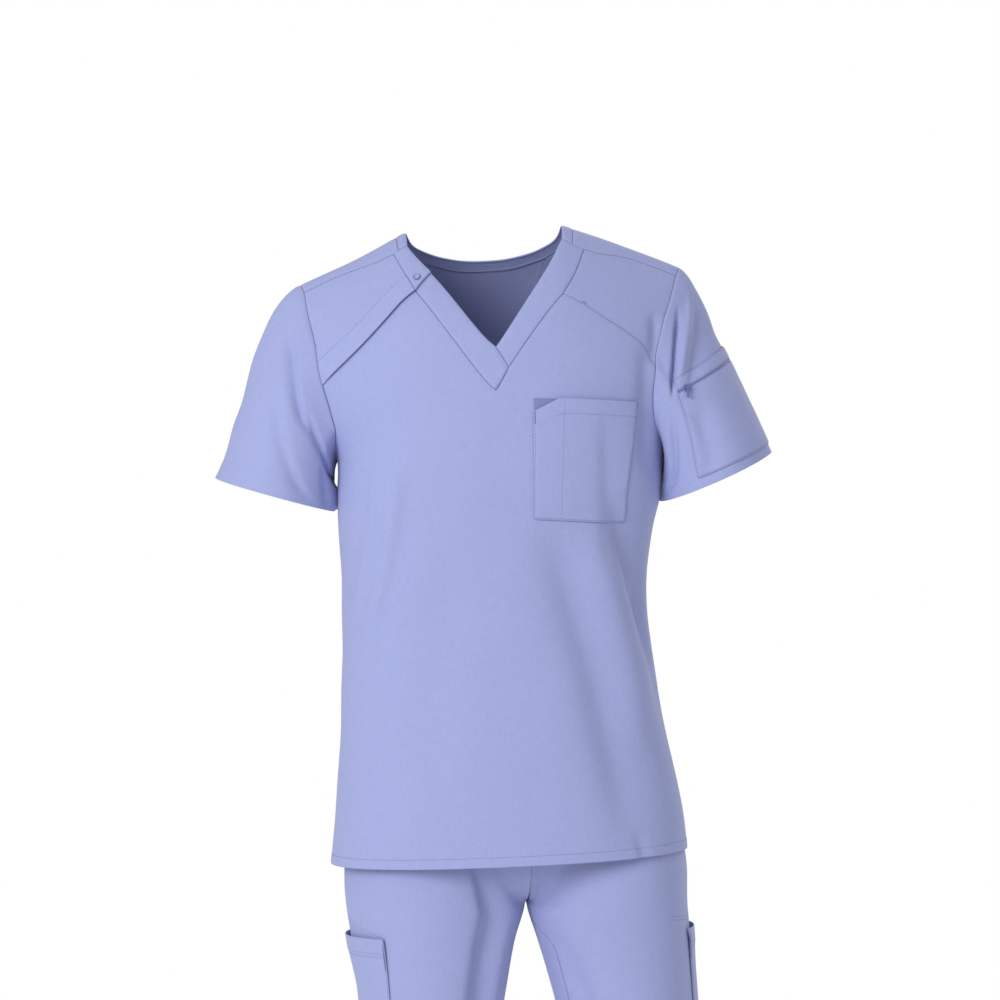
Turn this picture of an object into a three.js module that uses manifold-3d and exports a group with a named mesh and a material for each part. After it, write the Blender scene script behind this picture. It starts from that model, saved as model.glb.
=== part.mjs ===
// Medical scrubs: a V-neck top and straight trousers, open and hollow, in the pose of someone standing.
// Millimetres. +X is the wearer's left, -Y is the front and +Z is up. The origin lies between the two neck
// points of the shoulders, where the top hangs on whoever wears it.
import * as THREE from "three";
import Module from "manifold-3d";

const wasm = await Module();
wasm.setup();

// Cloth and seams
const WALL = 1.5; // body, sleeves and trousers
const BAND_WALL = 1.8; // neckband, cut double
const POCKET_WALL = 1.2;
const WAISTBAND_WALL = 2.2; // elastic inside a folded band
const WAISTBAND_GAP = 0.8; // between the band and the trousers below
const SEAM_GAP = 0.3; // between two pieces sewn together
const LAY_GAP = 0.6; // between a panel and what is sewn flat on it
const FLAP_LIFT = 3.2; // how far the buttoned shoulder flap stands off the front at its edge
const FLAP_FLAT = 18; // width of the flap that lies over the front at that height
const FLAP_FACING = 24; // depth of the flap's turned edge

// The shoulders round over from front to back through this drop below their ridge
const SHOULDER_ROUND = 150;
const SECTION_POWER = 2.35; // a little squarer than an ellipse
const RIDGE_LEVELS_FROM = 100; // below this drop the slope of the shoulders starts to fade
const RIDGE_LEVELS_AT = 400; // and here the rows are level
const HEM_MIDDLE_DROP = 733;
const HEM_TILT = 0.044; // the hips are tilted, higher at the wearer's left

// Height of the shoulder ridge across the back
const RIDGE = [
  { x: -290, z: -108 },
  { x: -250, z: -87 },
  { x: -214, z: -67 },
  { x: -186, z: -54 },
  { x: -157, z: -41 },
  { x: -130, z: -27 },
  { x: -105, z: -13 },
  { x: -88, z: -5 },
  { x: -60, z: 0 },
  { x: 0, z: 2 },
  { x: 60, z: 5 },
  { x: 88, z: 4 },
  { x: 105, z: -1 },
  { x: 144, z: -14 },
  { x: 182, z: -28 },
  { x: 219, z: -42 },
  { x: 262, z: -60 },
  { x: 300, z: -78 },
];

// The top's level sections, by drop below the ridge. Above the underarm the half width is that of the whole
// form, which the armholes cut.
const BODY = [
  { drop: 0, middle: 8, half: 254, front: 70, back: 80 },
  { drop: 60, middle: 9, half: 243, front: 94, back: 104 },
  { drop: 120, middle: 10, half: 228, front: 112, back: 118 },
  { drop: 180, middle: 13, half: 207, front: 122, back: 124 },
  { drop: 240, middle: 18, half: 190, front: 126, back: 123 },
  { drop: 300, middle: 17, half: 187, front: 125, back: 117 },
  { drop: 350, middle: 15, half: 183, front: 121, back: 110 },
  { drop: 400, middle: 13.5, half: 179, front: 118, back: 106 },
  { drop: 450, middle: 13.5, half: 178.5, front: 117, back: 106 },
  { drop: 500, middle: 17, half: 181.5, front: 119, back: 112 },
  { drop: 550, middle: 20.5, half: 186, front: 122, back: 121 },
  { drop: 600, middle: 25, half: 192, front: 125, back: 129 },
  { drop: 650, middle: 29, half: 199, front: 128, back: 134 },
  { drop: 700, middle: 31, half: 205, front: 130, back: 137 },
  { drop: 760, middle: 31, half: 209.5, front: 131, back: 138 },
];

// Soft folds of the top: a line over the front or back, how far it bows sideways, its half width and height
const BODY_FOLDS = [
  { face: 1, x0: 76, z0: -330, x1: 184, z1: -735, bow: -10, width: 26, height: -9 },
  { face: 1, x0: 128, z0: -330, x1: 214, z1: -640, bow: -6, width: 24, height: 7 },
  { face: 1, x0: 168, z0: -230, x1: 150, z1: -520, bow: 8, width: 22, height: -7 },
  { face: 1, x0: 182, z0: -110, x1: 184, z1: -300, bow: 4, width: 11, height: -7 },
  { face: 1, x0: -94, z0: -258, x1: -138, z1: -500, bow: -8, width: 12, height: 4.5 },
  { face: 1, x0: -118, z0: -268, x1: -152, z1: -470, bow: -6, width: 10, height: 3.5 },
  { face: 1, x0: -30, z0: -330, x1: -60, z1: -700, bow: 6, width: 30, height: -3 },
  { face: -1, x0: -150, z0: -250, x1: -70, z1: -470, bow: 10, width: 20, height: -7 },
  { face: -1, x0: -100, z0: -420, x1: -60, z1: -720, bow: 8, width: 24, height: -6 },
  { face: -1, x0: 176, z0: -240, x1: 96, z1: -450, bow: -10, width: 20, height: -7 },
  { face: -1, x0: 110, z0: -430, x1: 130, z1: -725, bow: -6, width: 26, height: -7 },
  { face: -1, x0: 20, z0: -360, x1: 24, z1: -700, bow: 5, width: 30, height: 4 },
];

// Seams and edges of the front, seen from the front
const NECK_POINT = { right: [-90, -6], left: [91.5, 3.5] };
const BACK_BAND_POINT = { right: [-101.5, -12], left: [104, -1] };
const FLAP_NECK = [-76.3, -79.6]; // where the flap's edge meets the neckband's outer seam
const FLAP_TIP = [-58.9, -58]; // and its inner edge
const FLAP_SEAM = [FLAP_NECK, [-110, -113.5], [-136, -141.5], [-160, -164.5], [-183.5, -187]];
const YOKE_SEAM = [[92.7, -82], [113.6, -91], [137.7, -106], [170, -129], [189.4, -145.5], [199.4, -166.7]];
const BAND_CROSSING = [30, -168]; // where the right band's inner edge runs into the left band's outer seam
const BAND_CROSSING_INNER = [15.5, -144.7];
const V_TIP = [15.5, -194.3];
const SHOULDER_SEAM = {
  right: [[-103.4, -33.5], [-121.3, -41.5], [-146, -50], [-170.4, -58.5], [-208.5, -76.5]],
  left: [[117.8, -28], [136, -33], [160, -35.5], [188, -43], [225, -57]],
};
const BAND_END = {
  right: [[-103.4, -33.5], [-97.5, -29], [-87.5, -23.7]],
  left: [[117.8, -28], [104, -22], [91.8, -15.5]],
};
const BAND_INNER_RIGHT = [[-87.5, -23.7], [-81.5, -32], [-72, -44.3], FLAP_TIP];
const BAND_OUTER_LEFT = [BAND_CROSSING, [62, -121], [92.7, -82]];
const BAND_OUTER_LEFT_TOP = [[92.7, -82], [107, -56], [117.8, -28]];
const BAND_INNER_LEFT = [BAND_CROSSING_INNER, [47.5, -94.5], [70.3, -57.5], [83, -34], [91.8, -15.5]];

// The neck behind the shoulders, by drop down the back
const BACK_NECK_INNER = [[-84, 12], [-64, 25], [-34, 33], [0, 35], [36, 33], [66, 25], [86, 12]];
const BACK_NECK_OUTER = [[-95, 17], [-71, 35], [-37, 45], [0, 47], [39, 45], [74, 35], [98, 17]];

// A line across the shoulder blades, by drop down the back, where the back's parts meet
const BLADE_LINE = [[-62, 66], [0, 76], [64, 66]];
const BLADE_ROW = 6; // its ends are so many steps along the armhole's back edge
const NECK_SIDE = 4; // steps of the neck's sides over the shoulders
const NECK_MIDDLE = 6;

// Armholes: front from the ridge to the underarm, and back
const UNDERARM = { right: -272, left: -266 };
const ARMHOLE_FRONT = {
  right: [[-214, -67], [-208.5, -76.5], [-203.6, -99], [-195.5, -129], [-189.5, -154], [-183.5, -186],
    [-174.4, -220], [-170, -240]],
  left: [[230, -46.6], [225, -57], [218, -82], [208.5, -112], [203, -140], [199.4, -166.7], [197, -205],
    [201, -232]],
};
const ARMHOLE_BACK = {
  right: [[-214, -67], [-205, -96], [-198, -130], [-191, -172], [-181, -220], [-175, -244]],
  left: [[230, -46.6], [219, -78], [211, -114], [206, -158], [203, -208], [205, -236]],
};
const SEAM_ROW = 1; // row of the armhole tables where the shoulder seam ends
const YOKE_ROW = 5; // row where the flap or yoke seam ends

// Sleeves: the opening's centre, half width, half depth and the way it faces, and how strongly the sleeve's
// top line leaves the shoulder and runs into the opening
const SLEEVES = {
  right: { outward: -1, centre: [-242, -2, -312.5], lean: 15.5, halfWidth: 69.5, halfDepth: 79, dip: 1,
    capTop: [185, -90], cuffTop: [95, -190] },
  left: { outward: 1, centre: [271.5, -2, -290], lean: 24, halfWidth: 71, halfDepth: 80, dip: 6,
    capTop: [85, -130], cuffTop: [71, -160] },
};
const CAP_UNDER = [24, -42]; // the same for its underarm line
const CUFF_UNDER = 50;

// Soft folds of the sleeves: turn in degrees from the top towards the front, share of the way down, sizes in mm
const SLEEVE_FOLDS = [
  { side: "right", turn0: 52, down0: 0.18, turn1: 118, down1: 0.95, width: 11, height: -6 },
  { side: "right", turn0: 78, down0: 0.1, turn1: 146, down1: 0.9, width: 12, height: 6 },
  { side: "right", turn0: 112, down0: 0.15, turn1: 165, down1: 0.85, width: 9, height: -6 },
  { side: "left", turn0: 44, down0: 0.04, turn1: 84, down1: 0.5, width: 9, height: 6 },
  { side: "left", turn0: 34, down0: 0.08, turn1: 60, down1: 0.6, width: 9, height: -7 },
  { side: "left", turn0: 66, down0: 0.1, turn1: 118, down1: 0.8, width: 9, height: -7 },
  { side: "left", turn0: 92, down0: 0.2, turn1: 150, down1: 0.95, width: 10, height: 6 },
  { side: "right", turn0: -60, down0: 0.15, turn1: -128, down1: 0.9, width: 12, height: -6 },
  { side: "left", turn0: -56, down0: 0.12, turn1: -124, down1: 0.9, width: 12, height: -6 },
];

// Chest pocket on the wearer's left, seen from the front: its corners, and the pen slot's cut corner
const CHEST_POCKET = {
  topInner: [57.6, -202], topOuter: [178, -206],
  lowInner: [58.7, -340], lowOuter: [160.5, -345],
};
const PEN_SLOT_WIDTH = 29;
const PEN_SLOT_DROP = 16;

// Sleeve pocket on the wearer's left: its front edge seen from the front, the turn of its back edge, and the
// distances of its lines from the cuff at the front and back edges
const SLEEVE_POCKET = { frontTop: [224, -181], frontLow: [245.5, -290], back: -14 };
const POCKET_LINES = { top: [128, 136], zip: [115, 112], low: [12, 10] };
const ZIP_WIDTH = 4;
const ZIP_END = 0.42; // columns between the pocket's front edge and the slider

// Trousers: hips by height, and each leg's two sides
const WAIST_TOP = -484;
const WAISTBAND_HEIGHT = 40;
const CROTCH = -785;
const CROTCH_X = 50;
const SIDE_TURNS_AT = -610;
const RISE_TURNS_AT = -690; // the centre seams start to turn under the body here
const TROUSER_HEM = -1550;
const HIPS = [
  { z: -484, rightSide: -130, leftSide: 168, front: 102, back: 94 },
  { z: -540, rightSide: -144, leftSide: 187, front: 108, back: 106 },
  { z: -600, rightSide: -153, leftSide: 205, front: 112, back: 116 },
  { z: -650, rightSide: -159, leftSide: 219, front: 113, back: 121 },
  { z: -690, rightSide: -161, leftSide: 231.5, front: 112, back: 122 },
  { z: -740, rightSide: -162.5, leftSide: 238.3, front: 110, back: 118 },
  { z: -785, rightSide: -160.5, leftSide: 239.5, front: 104, back: 108 },
];
const RIGHT_LEG = [
  { z: -690, outer: -161, inner: 50, front: 108, back: 118 },
  { z: -740, outer: -162.5, inner: 50, front: 105, back: 112 },
  { z: -785, outer: -160.5, inner: 50, front: 100, back: 104 },
  { z: -833, outer: -153, inner: 37, front: 96, back: 98 },
  { z: -902, outer: -141.6, inner: 25.5, front: 92, back: 94 },
  { z: -1000, outer: -136, inner: 19, front: 87, back: 89 },
  { z: -1120, outer: -132, inner: 13, front: 82, back: 84 },
  { z: -1280, outer: -130, inner: 8, front: 79, back: 81 },
  { z: -1420, outer: -129, inner: 5, front: 78, back: 79 },
  { z: -1560, outer: -129, inner: 4, front: 77, back: 78 },
];
const LEFT_LEG = [
  { z: -690, outer: 231.5, inner: 50, front: 108, back: 118 },
  { z: -740, outer: 238.3, inner: 50, front: 105, back: 112 },
  { z: -785, outer: 239.5, inner: 50, front: 100, back: 104 },
  { z: -833, outer: 243.5, inner: 64, front: 96, back: 98 },
  { z: -902, outer: 248, inner: 84, front: 92, back: 94 },
  { z: -1000, outer: 257, inner: 105, front: 87, back: 89 },
  { z: -1120, outer: 269, inner: 126, front: 82, back: 84 },
  { z: -1280, outer: 286, inner: 148, front: 79, back: 81 },
  { z: -1420, outer: 302, inner: 167, front: 78, back: 79 },
  { z: -1560, outer: 318, inner: 185, front: 77, back: 78 },
];
const HIP_POWER = 2.2;
const LEG_POWER = 2.1;
const SIDE_TURN = 17; // the hips face a little to the wearer's left: degrees round the section
const CENTRE_TURN = 4.3;
const LEG_TURN = 10;
const INSEAM_TURN = { right: -12, left: 38 }; // below the crotch, towards the front
const INSEAM_SETTLES = 50; // height over which the inseam reaches that turn

// Soft folds of the trousers: turn round the leg from its outer side towards the front, heights and sizes
const LEG_FOLDS = [
  { leg: "right", turn0: 128, z0: -700, turn1: 122, z1: -1010, width: 11, height: -8 },
  { leg: "right", turn0: 152, z0: -760, turn1: 140, z1: -1040, width: 10, height: 5 },
  { leg: "right", turn0: 60, z0: -900, turn1: 95, z1: -1180, width: 16, height: -5 },
  { leg: "right", turn0: 120, z0: -1040, turn1: 60, z1: -1180, width: 13, height: -6 },
  { leg: "right", turn0: 80, z0: -1380, turn1: 130, z1: -1500, width: 14, height: -6 },
  { leg: "left", turn0: 132, z0: -800, turn1: 110, z1: -1060, width: 16, height: -6 },
  { leg: "left", turn0: 116, z0: -1040, turn1: 60, z1: -1190, width: 13, height: -6 },
  { leg: "left", turn0: 86, z0: -1370, turn1: 128, z1: -1500, width: 14, height: -6 },
  { leg: "right", turn0: -70, z0: -820, turn1: -120, z1: -1040, width: 16, height: -7 },
  { leg: "left", turn0: -70, z0: -820, turn1: -120, z1: -1040, width: 16, height: -7 },
  { leg: "right", turn0: -120, z0: -1060, turn1: -60, z1: -1180, width: 13, height: -6 },
  { leg: "left", turn0: -120, z0: -1060, turn1: -60, z1: -1180, width: 13, height: -6 },
];

// Cargo pockets over the side seams: reach in columns of the front and back, and heights of the top edge
const CARGO = {
  right: { frontReach: 2.1, backReach: 2.6, topFront: -820, topBack: -826 },
  left: { frontReach: 1.6, backReach: 3.1, topFront: -813, topBack: -818 },
};
const CARGO_HEIGHT = 190;

// Snap on the neckband, and the zip's slider and pull tab
const SNAP = { place: [-73.5, -62], radius: 4.2, tube: 1.1 };
const SLIDER = { length: 8, width: 6, height: 1.6, lug: 1.2, pinRadius: 0.6, pinHeight: 3.4, above: 1.1 };
const TAB = { length: 12, width: 3, thickness: 1.2, ring: 1.35, bore: 0.7 };

// How finely each edge is divided
const STEPS = { flapSeam: 6, bandLow: 6, yokeSeam: 6, bandTop: 5, armLow: 6, armTop: 5, armBack: 12, side: 11,
  shoulder: 6, bandAcross: 2, sleeve: 9, panel: 7 };

const clamp = (v, low, high) => Math.min(Math.max(v, low), high);
const mix = (a, b, t) => a + (b - a) * t;
const ease = (from, to, v) => {
  const t = clamp((v - from) / (to - from), 0, 1);
  return t * t * (3 - 2 * t);
};
const radians = THREE.MathUtils.degToRad;
const signedPower = (v, power) => Math.sign(v) * Math.abs(v) ** power;

// A smooth value of one named column of a table whose rows rise, or fall, in the column `key`.
function along(rows, key, column, at) {
  const last = rows.length - 1;
  const way = Math.sign(rows[last][key] - rows[0][key]);
  let i = 0;
  while (i < last - 1 && (rows[i + 1][key] - at) * way < 0) i++;
  const slope = (k) => {
    const low = rows[Math.max(k - 1, 0)];
    const high = rows[Math.min(k + 1, last)];
    return (high[column] - low[column]) / (high[key] - low[key]);
  };
  const span = rows[i + 1][key] - rows[i][key];
  const t = clamp((at - rows[i][key]) / span, 0, 1);
  const [t2, t3] = [t * t, t * t * t];
  return (
    rows[i][column] * (2 * t3 - 3 * t2 + 1) +
    rows[i + 1][column] * (3 * t2 - 2 * t3) +
    slope(i) * span * (t3 - 2 * t2 + t) +
    slope(i + 1) * span * (t3 - t2)
  );
}

// The height of one soft fold at a point (a, b) of a flat map: a bell across its line, fading at both ends.
function foldAt(fold, from, to, a, b) {
  const [da, db] = [to[0] - from[0], to[1] - from[1]];
  const length = Math.hypot(da, db);
  const t = ((a - from[0]) * da + (b - from[1]) * db) / length ** 2;
  if (t <= 0 || t >= 1) return 0;
  const across = ((a - from[0]) * db - (b - from[1]) * da) / length - (fold.bow ?? 0) * 4 * t * (1 - t);
  const fade = ease(0, 0.3, t) * ease(0, 0.3, 1 - t);
  return fold.height * fade * Math.exp(-((across / fold.width) ** 2));
}

// A place on the top's form is { s, w }: s runs from -1 at the wearer's right side to 1 at the left, and w
// from 0 at the shoulder ridge, to 1 where the shoulder has rounded over, and on down. w is negative behind.
const dropOf = (w) =>
  w < 1 ? SHOULDER_ROUND * (1 - Math.cos((w * Math.PI) / 2)) : SHOULDER_ROUND * (1 + ((w - 1) * Math.PI) / 2);
const placeOfDrop = (drop) =>
  drop < SHOULDER_ROUND
    ? (Math.acos(1 - drop / SHOULDER_ROUND) * 2) / Math.PI
    : 1 + ((drop / SHOULDER_ROUND - 1) * 2) / Math.PI;
const ridgeAt = (x) => along(RIDGE, "x", "z", x);
const ridgeShare = (drop) => 1 - ease(RIDGE_LEVELS_FROM, RIDGE_LEVELS_AT, drop);

function smoothBodyPoint({ s, w }) {
  const drop = dropOf(Math.abs(w));
  const half = along(BODY, "drop", "half", drop);
  const depth = along(BODY, "drop", w < 0 ? "back" : "front", drop);
  const across = signedPower(Math.sin((s * Math.PI) / 2), 2 / SECTION_POWER);
  const deep = Math.abs(Math.cos((s * Math.PI) / 2)) ** (2 / SECTION_POWER);
  const x = along(BODY, "drop", "middle", drop) + half * across;
  const round = Math.sin((Math.min(Math.abs(w), 1) * Math.PI) / 2);
  return new THREE.Vector3(x, -Math.sign(w) * depth * deep * round, ridgeAt(x) * ridgeShare(drop) - drop);
}

function bodyNormal(place) {
  const tiny = 1e-3;
  const s = clamp(place.s, -1 + 2 * tiny, 1 - 2 * tiny);
  const step = (ds, dw) => smoothBodyPoint({ s: s + ds, w: place.w + dw });
  const acrossward = step(tiny, 0).sub(step(-tiny, 0));
  const downward = step(0, tiny).sub(step(0, -tiny));
  return downward.cross(acrossward).normalize();
}

function bodyPoint(place) {
  const p = smoothBodyPoint(place);
  const face = Math.sign(place.w);
  const height = BODY_FOLDS.filter((f) => f.face === face).reduce(
    (sum, f) => sum + foldAt(f, [f.x0, f.z0], [f.x1, f.z1], p.x, p.z),
    0,
  );
  const atSides = ease(0.8, 1, Math.abs(place.s));
  return height ? p.addScaledVector(bodyNormal(place), height * (1 - atSides)) : p;
}

// The place whose point has this x and z, on the front (face 1) or the back (face -1).
function placeAt([x, z], face = 1) {
  let [low, high] = [0, BODY.at(-1).drop];
  for (let i = 0; i < 40; i++) {
    const drop = (low + high) / 2;
    if (ridgeAt(x) * ridgeShare(drop) - drop > z) low = drop;
    else high = drop;
  }
  const across = (x - along(BODY, "drop", "middle", low)) / along(BODY, "drop", "half", low);
  const s = (Math.asin(clamp(signedPower(across, SECTION_POWER / 2), -1, 1)) * 2) / Math.PI;
  return { s, w: face * placeOfDrop(low) };
}
const placesAt = (points, face = 1) => points.map((p) => placeAt(p, face));
const backPlace = ([x, drop]) => placeAt([x, ridgeAt(x) - drop], -1);
const sidePlace = (side, z, face = 1) => ({
  s: side === "right" ? -1 : 1,
  w: face * Math.abs(placeAt([side === "right" ? -172 : 208, z]).w),
});

// A smooth line through places, measured by its length on the form.
function lineThrough(places) {
  const rows = places.map((p) => ({ ...p, run: 0 }));
  for (let i = 1; i < rows.length; i++)
    rows[i].run = rows[i - 1].run + smoothBodyPoint(rows[i]).distanceTo(smoothBodyPoint(rows[i - 1]));
  return rows;
}
const onLine = (line, run) => ({ s: along(line, "run", "s", run), w: along(line, "run", "w", run) });
function between(line, from, to, steps) {
  return Array.from({ length: steps + 1 }, (_, i) => onLine(line, mix(from, to, i / steps)));
}
const divide = (places, steps) => {
  const line = lineThrough(places);
  return between(line, 0, line.at(-1).run, steps);
};
const joined = (...lists) => lists.flatMap((list, i) => (i ? list.slice(1) : list));
const reversed = (list) => [...list].reverse();

// A grid of places filled in between four edges that share their corners. Rows run from bottom to top.
function fill(bottom, top, left, right) {
  const [across, up] = [bottom.length - 1, left.length - 1];
  const blend = (key, i, j) => {
    const [u, v] = [i / across, j / up];
    return (
      mix(bottom[i][key], top[i][key], v) +
      mix(left[j][key], right[j][key], u) -
      mix(mix(bottom[0][key], bottom[across][key], u), mix(top[0][key], top[across][key], u), v)
    );
  };
  return left.map((_, j) => bottom.map((__, i) => ({ s: blend("s", i, j), w: blend("w", i, j) })));
}
const pointsOf = (grid, at = bodyPoint) => grid.map((row) => row.map((place) => at(place)));

// A skin is the outer face of one piece: triangles over shared points. Each corner of a face also knows its
// column u and row v in the grid it came from. The cloth fills the space between two offsets from the skin.
function skin(name, colour, from, to) {
  return { name, colour, from, to, points: [], faces: [] };
}
function pointOf(cloth, p, n = new THREE.Vector3()) {
  let point = cloth.points.find((other) => other.p.distanceToSquared(p) < 4e-4);
  if (!point) cloth.points.push((point = { p, n }));
  return point;
}
function addFace(cloth, corners) {
  const [a, b, c] = corners.map(({ point }) => point);
  if (a !== b && b !== c && c !== a) cloth.faces.push(corners);
}
// Adds a grid of points, rows from bottom to top and columns to the right as seen from outside.
function addGrid(cloth, grid) {
  const corner = grid.map((row, v) => row.map((p, u) => ({ point: pointOf(cloth, p), u, v })));
  for (let j = 0; j + 1 < grid.length; j++)
    for (let i = 0; i + 1 < grid[j].length; i++) {
      const [a, b, c, d] = [corner[j][i], corner[j][i + 1], corner[j + 1][i + 1], corner[j + 1][i]];
      const split = a.point.p.distanceTo(c.point.p) < b.point.p.distanceTo(d.point.p);
      const halves = split ? [[a, b, c], [a, c, d]] : [[a, b, d], [b, c, d]];
      halves.forEach((corners) => addFace(cloth, corners));
    }
}
function panel(name, ...grids) {
  const cloth = skin(name, CLOTH, 0, -WALL);
  grids.forEach((grid) => addGrid(cloth, grid));
  return cloth;
}
const band = (name, grid, wall = BAND_WALL) => Object.assign(panel(name, grid), { to: -wall });

const faceNormal = ([a, b, c]) =>
  b.point.p.clone().sub(a.point.p).cross(c.point.p.clone().sub(a.point.p));

// Normals shared by every skin whose points meet, so that walls join in a mitre at a seam
function shareNormals(cloths) {
  const spots = [];
  for (const cloth of cloths)
    for (const point of cloth.points) {
      const spot = spots.find(({ p }) => p.distanceToSquared(point.p) < 0.2);
      if (spot) point.n = spot.n;
      else spots.push(point);
    }
  for (const cloth of cloths)
    for (const face of cloth.faces) {
      const n = faceNormal(face);
      face.forEach(({ point }) => point.n.add(n));
    }
  spots.forEach(({ n }) => n.normalize());
}

// The open edges of a skin: pairs of points with their face on the left
function openEdges(cloth) {
  const index = new Map(cloth.points.map((point, i) => [point, i]));
  const sides = new Map();
  for (const face of cloth.faces)
    face.forEach(({ point }, k) => {
      const next = face[(k + 1) % 3].point;
      sides.set(`${index.get(point)} ${index.get(next)}`, { a: point, b: next, face });
    });
  const open = [...sides].filter(([key]) => !sides.has(key.split(" ").reverse().join(" ")));
  return open.map(([, side]) => side);
}

// How far each point on an open edge is pulled back into its piece
function seamShifts(edges) {
  const inward = new Map();
  for (const { a, b, face } of edges) {
    const m = faceNormal(face).cross(b.p.clone().sub(a.p)).normalize();
    for (const point of [a, b]) inward.set(point, [...(inward.get(point) ?? []), m]);
  }
  const shifts = new Map();
  for (const [point, [m, other = m]] of inward)
    shifts.set(point, m.clone().add(other).multiplyScalar(SEAM_GAP / 2 / Math.max(1 + m.dot(other), 0.5)));
  return shifts;
}

// The closed wall of a skin. The end faces at a seam are split the same way on both sides of it.
function wallGeometry(cloth) {
  const edges = openEdges(cloth);
  const shifts = seamShifts(edges);
  const count = cloth.points.length;
  const positions = [];
  for (const offset of [cloth.from, cloth.to])
    for (const point of cloth.points) {
      const p = point.p.clone().addScaledVector(point.n, offset);
      if (shifts.has(point)) p.add(shifts.get(point));
      positions.push(p.x, p.y, p.z);
    }
  const index = new Map(cloth.points.map((point, i) => [point, i]));
  const triangles = [];
  for (const face of cloth.faces) {
    const [a, b, c] = face.map(({ point }) => index.get(point));
    triangles.push(a, b, c, count + a, count + c, count + b);
  }
  const order = ({ p }) => p.x + 0.61 * p.y + 0.37 * p.z;
  for (const side of edges) {
    const [a, b] = [index.get(side.a), index.get(side.b)];
    if (order(side.a) < order(side.b)) triangles.push(b, a, count + b, a, count + a, count + b);
    else triangles.push(b, a, count + a, b, count + a, count + b);
  }
  const geometry = new THREE.BufferGeometry();
  geometry.setAttribute("position", new THREE.Float32BufferAttribute(positions, 3));
  geometry.setIndex(triangles);
  geometry.computeVertexNormals();
  return geometry;
}

// The point and normal of a skin where two measures of its corners have these values
function spotOn(cloth, measure, [x, y]) {
  for (const face of cloth.faces) {
    const [a, b, c] = face.map(measure);
    const det = (b[0] - a[0]) * (c[1] - a[1]) - (c[0] - a[0]) * (b[1] - a[1]);
    const s = ((x - a[0]) * (c[1] - a[1]) - (c[0] - a[0]) * (y - a[1])) / det;
    const t = ((b[0] - a[0]) * (y - a[1]) - (x - a[0]) * (b[1] - a[1])) / det;
    if (s < -1e-6 || t < -1e-6 || s + t > 1 + 1e-6) continue;
    const blend = (pick) => pick(face[0]) * (1 - s - t) + pick(face[1]) * s + pick(face[2]) * t;
    const vector = (key) =>
      new THREE.Vector3(...["x", "y", "z"].map((axis) => blend(({ point }) => point[key][axis])));
    return { p: vector("p"), n: vector("n").normalize(), u: blend(({ u }) => u), v: blend(({ v }) => v) };
  }
  throw new Error(`${cloth.name} has no place ${x}, ${y}`);
}
const seenFromFront = ({ point }) => [point.p.x, point.p.z];

// What is left of a ring of corners inside a convex outline
function clipped(ring, outline) {
  const middle = [0, 1].map((k) => outline.reduce((sum, q) => sum + q[k], 0) / outline.length);
  return outline.reduce((left, a, i) => {
    const b = outline[(i + 1) % outline.length];
    const side = (q) => (b[0] - a[0]) * (q[1] - a[1]) - (b[1] - a[1]) * (q[0] - a[0]);
    const inside = Math.sign(side(middle));
    const kept = [];
    left.forEach((here, k) => {
      const next = left[(k + 1) % left.length];
      const [s, t] = [side(here.at) * inside, side(next.at) * inside];
      if (s >= 0) kept.push(here);
      if ((s > 0 && t < 0) || (s < 0 && t > 0)) kept.push(cornerBetween(here, next, s / (s - t)));
    });
    return kept;
  }, ring);
}
const cornerBetween = (a, b, t) => ({
  p: a.p.clone().lerp(b.p, t),
  n: a.n.clone().lerp(b.n, t),
  at: [mix(a.at[0], b.at[0], t), mix(a.at[1], b.at[1], t)],
});

// A piece sewn flat on others: the part of their skins inside an outline, moved out. Each of the covered
// skins comes with the measure of its corners in which the outline is drawn.
function patch(name, covered, outline, wall, colour = CLOTH) {
  const piece = skin(name, colour, LAY_GAP + wall, LAY_GAP);
  for (const [cloth, measure] of covered)
    for (const face of cloth.faces) {
      const ring = face.map((corner) => ({ p: corner.point.p, n: corner.point.n, at: measure(corner) }));
      const corners = clipped(ring, outline).map(({ p, n }) => (
        { point: pointOf(piece, p.clone(), n.clone()) }
      ));
      for (let k = 1; k + 1 < corners.length; k++) addFace(piece, [corners[0], corners[k], corners[k + 1]]);
    }
  piece.points.forEach(({ n }) => n.normalize());
  return sew(piece);
}

const CLOTH = new THREE.Color(0.4, 0.44, 0.73);
const CLOTH_SHADE = new THREE.Color(0.26, 0.29, 0.52);
const SNAP_COLOUR = new THREE.Color(0.42, 0.46, 0.74);
const ZIP_COLOUR = new THREE.Color(0.24, 0.27, 0.5);
const finish = (colour, roughness, metalness) =>
  new THREE.MeshStandardMaterial({ color: colour, roughness, metalness });
const scrubs = new THREE.Group();

function addMesh(name, geometry, material, parent = scrubs) {
  const mesh = new THREE.Mesh(geometry, material);
  mesh.name = name;
  parent.add(mesh);
  return mesh;
}
const sew = (cloth) => addMesh(cloth.name, wallGeometry(cloth), finish(cloth.colour, 0.86, 0));

// Armholes of the two sides, as lines from the ridge to the underarm
function armholeLines(side) {
  const front = lineThrough([...placesAt(ARMHOLE_FRONT[side]), sidePlace(side, UNDERARM[side])]);
  const back = lineThrough([...placesAt(ARMHOLE_BACK[side], -1), sidePlace(side, UNDERARM[side], -1)]);
  front[0].w = 0;
  back[0].w = 0;
  return { front, back };
}
const ARMHOLES = { right: armholeLines("right"), left: armholeLines("left") };

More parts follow.
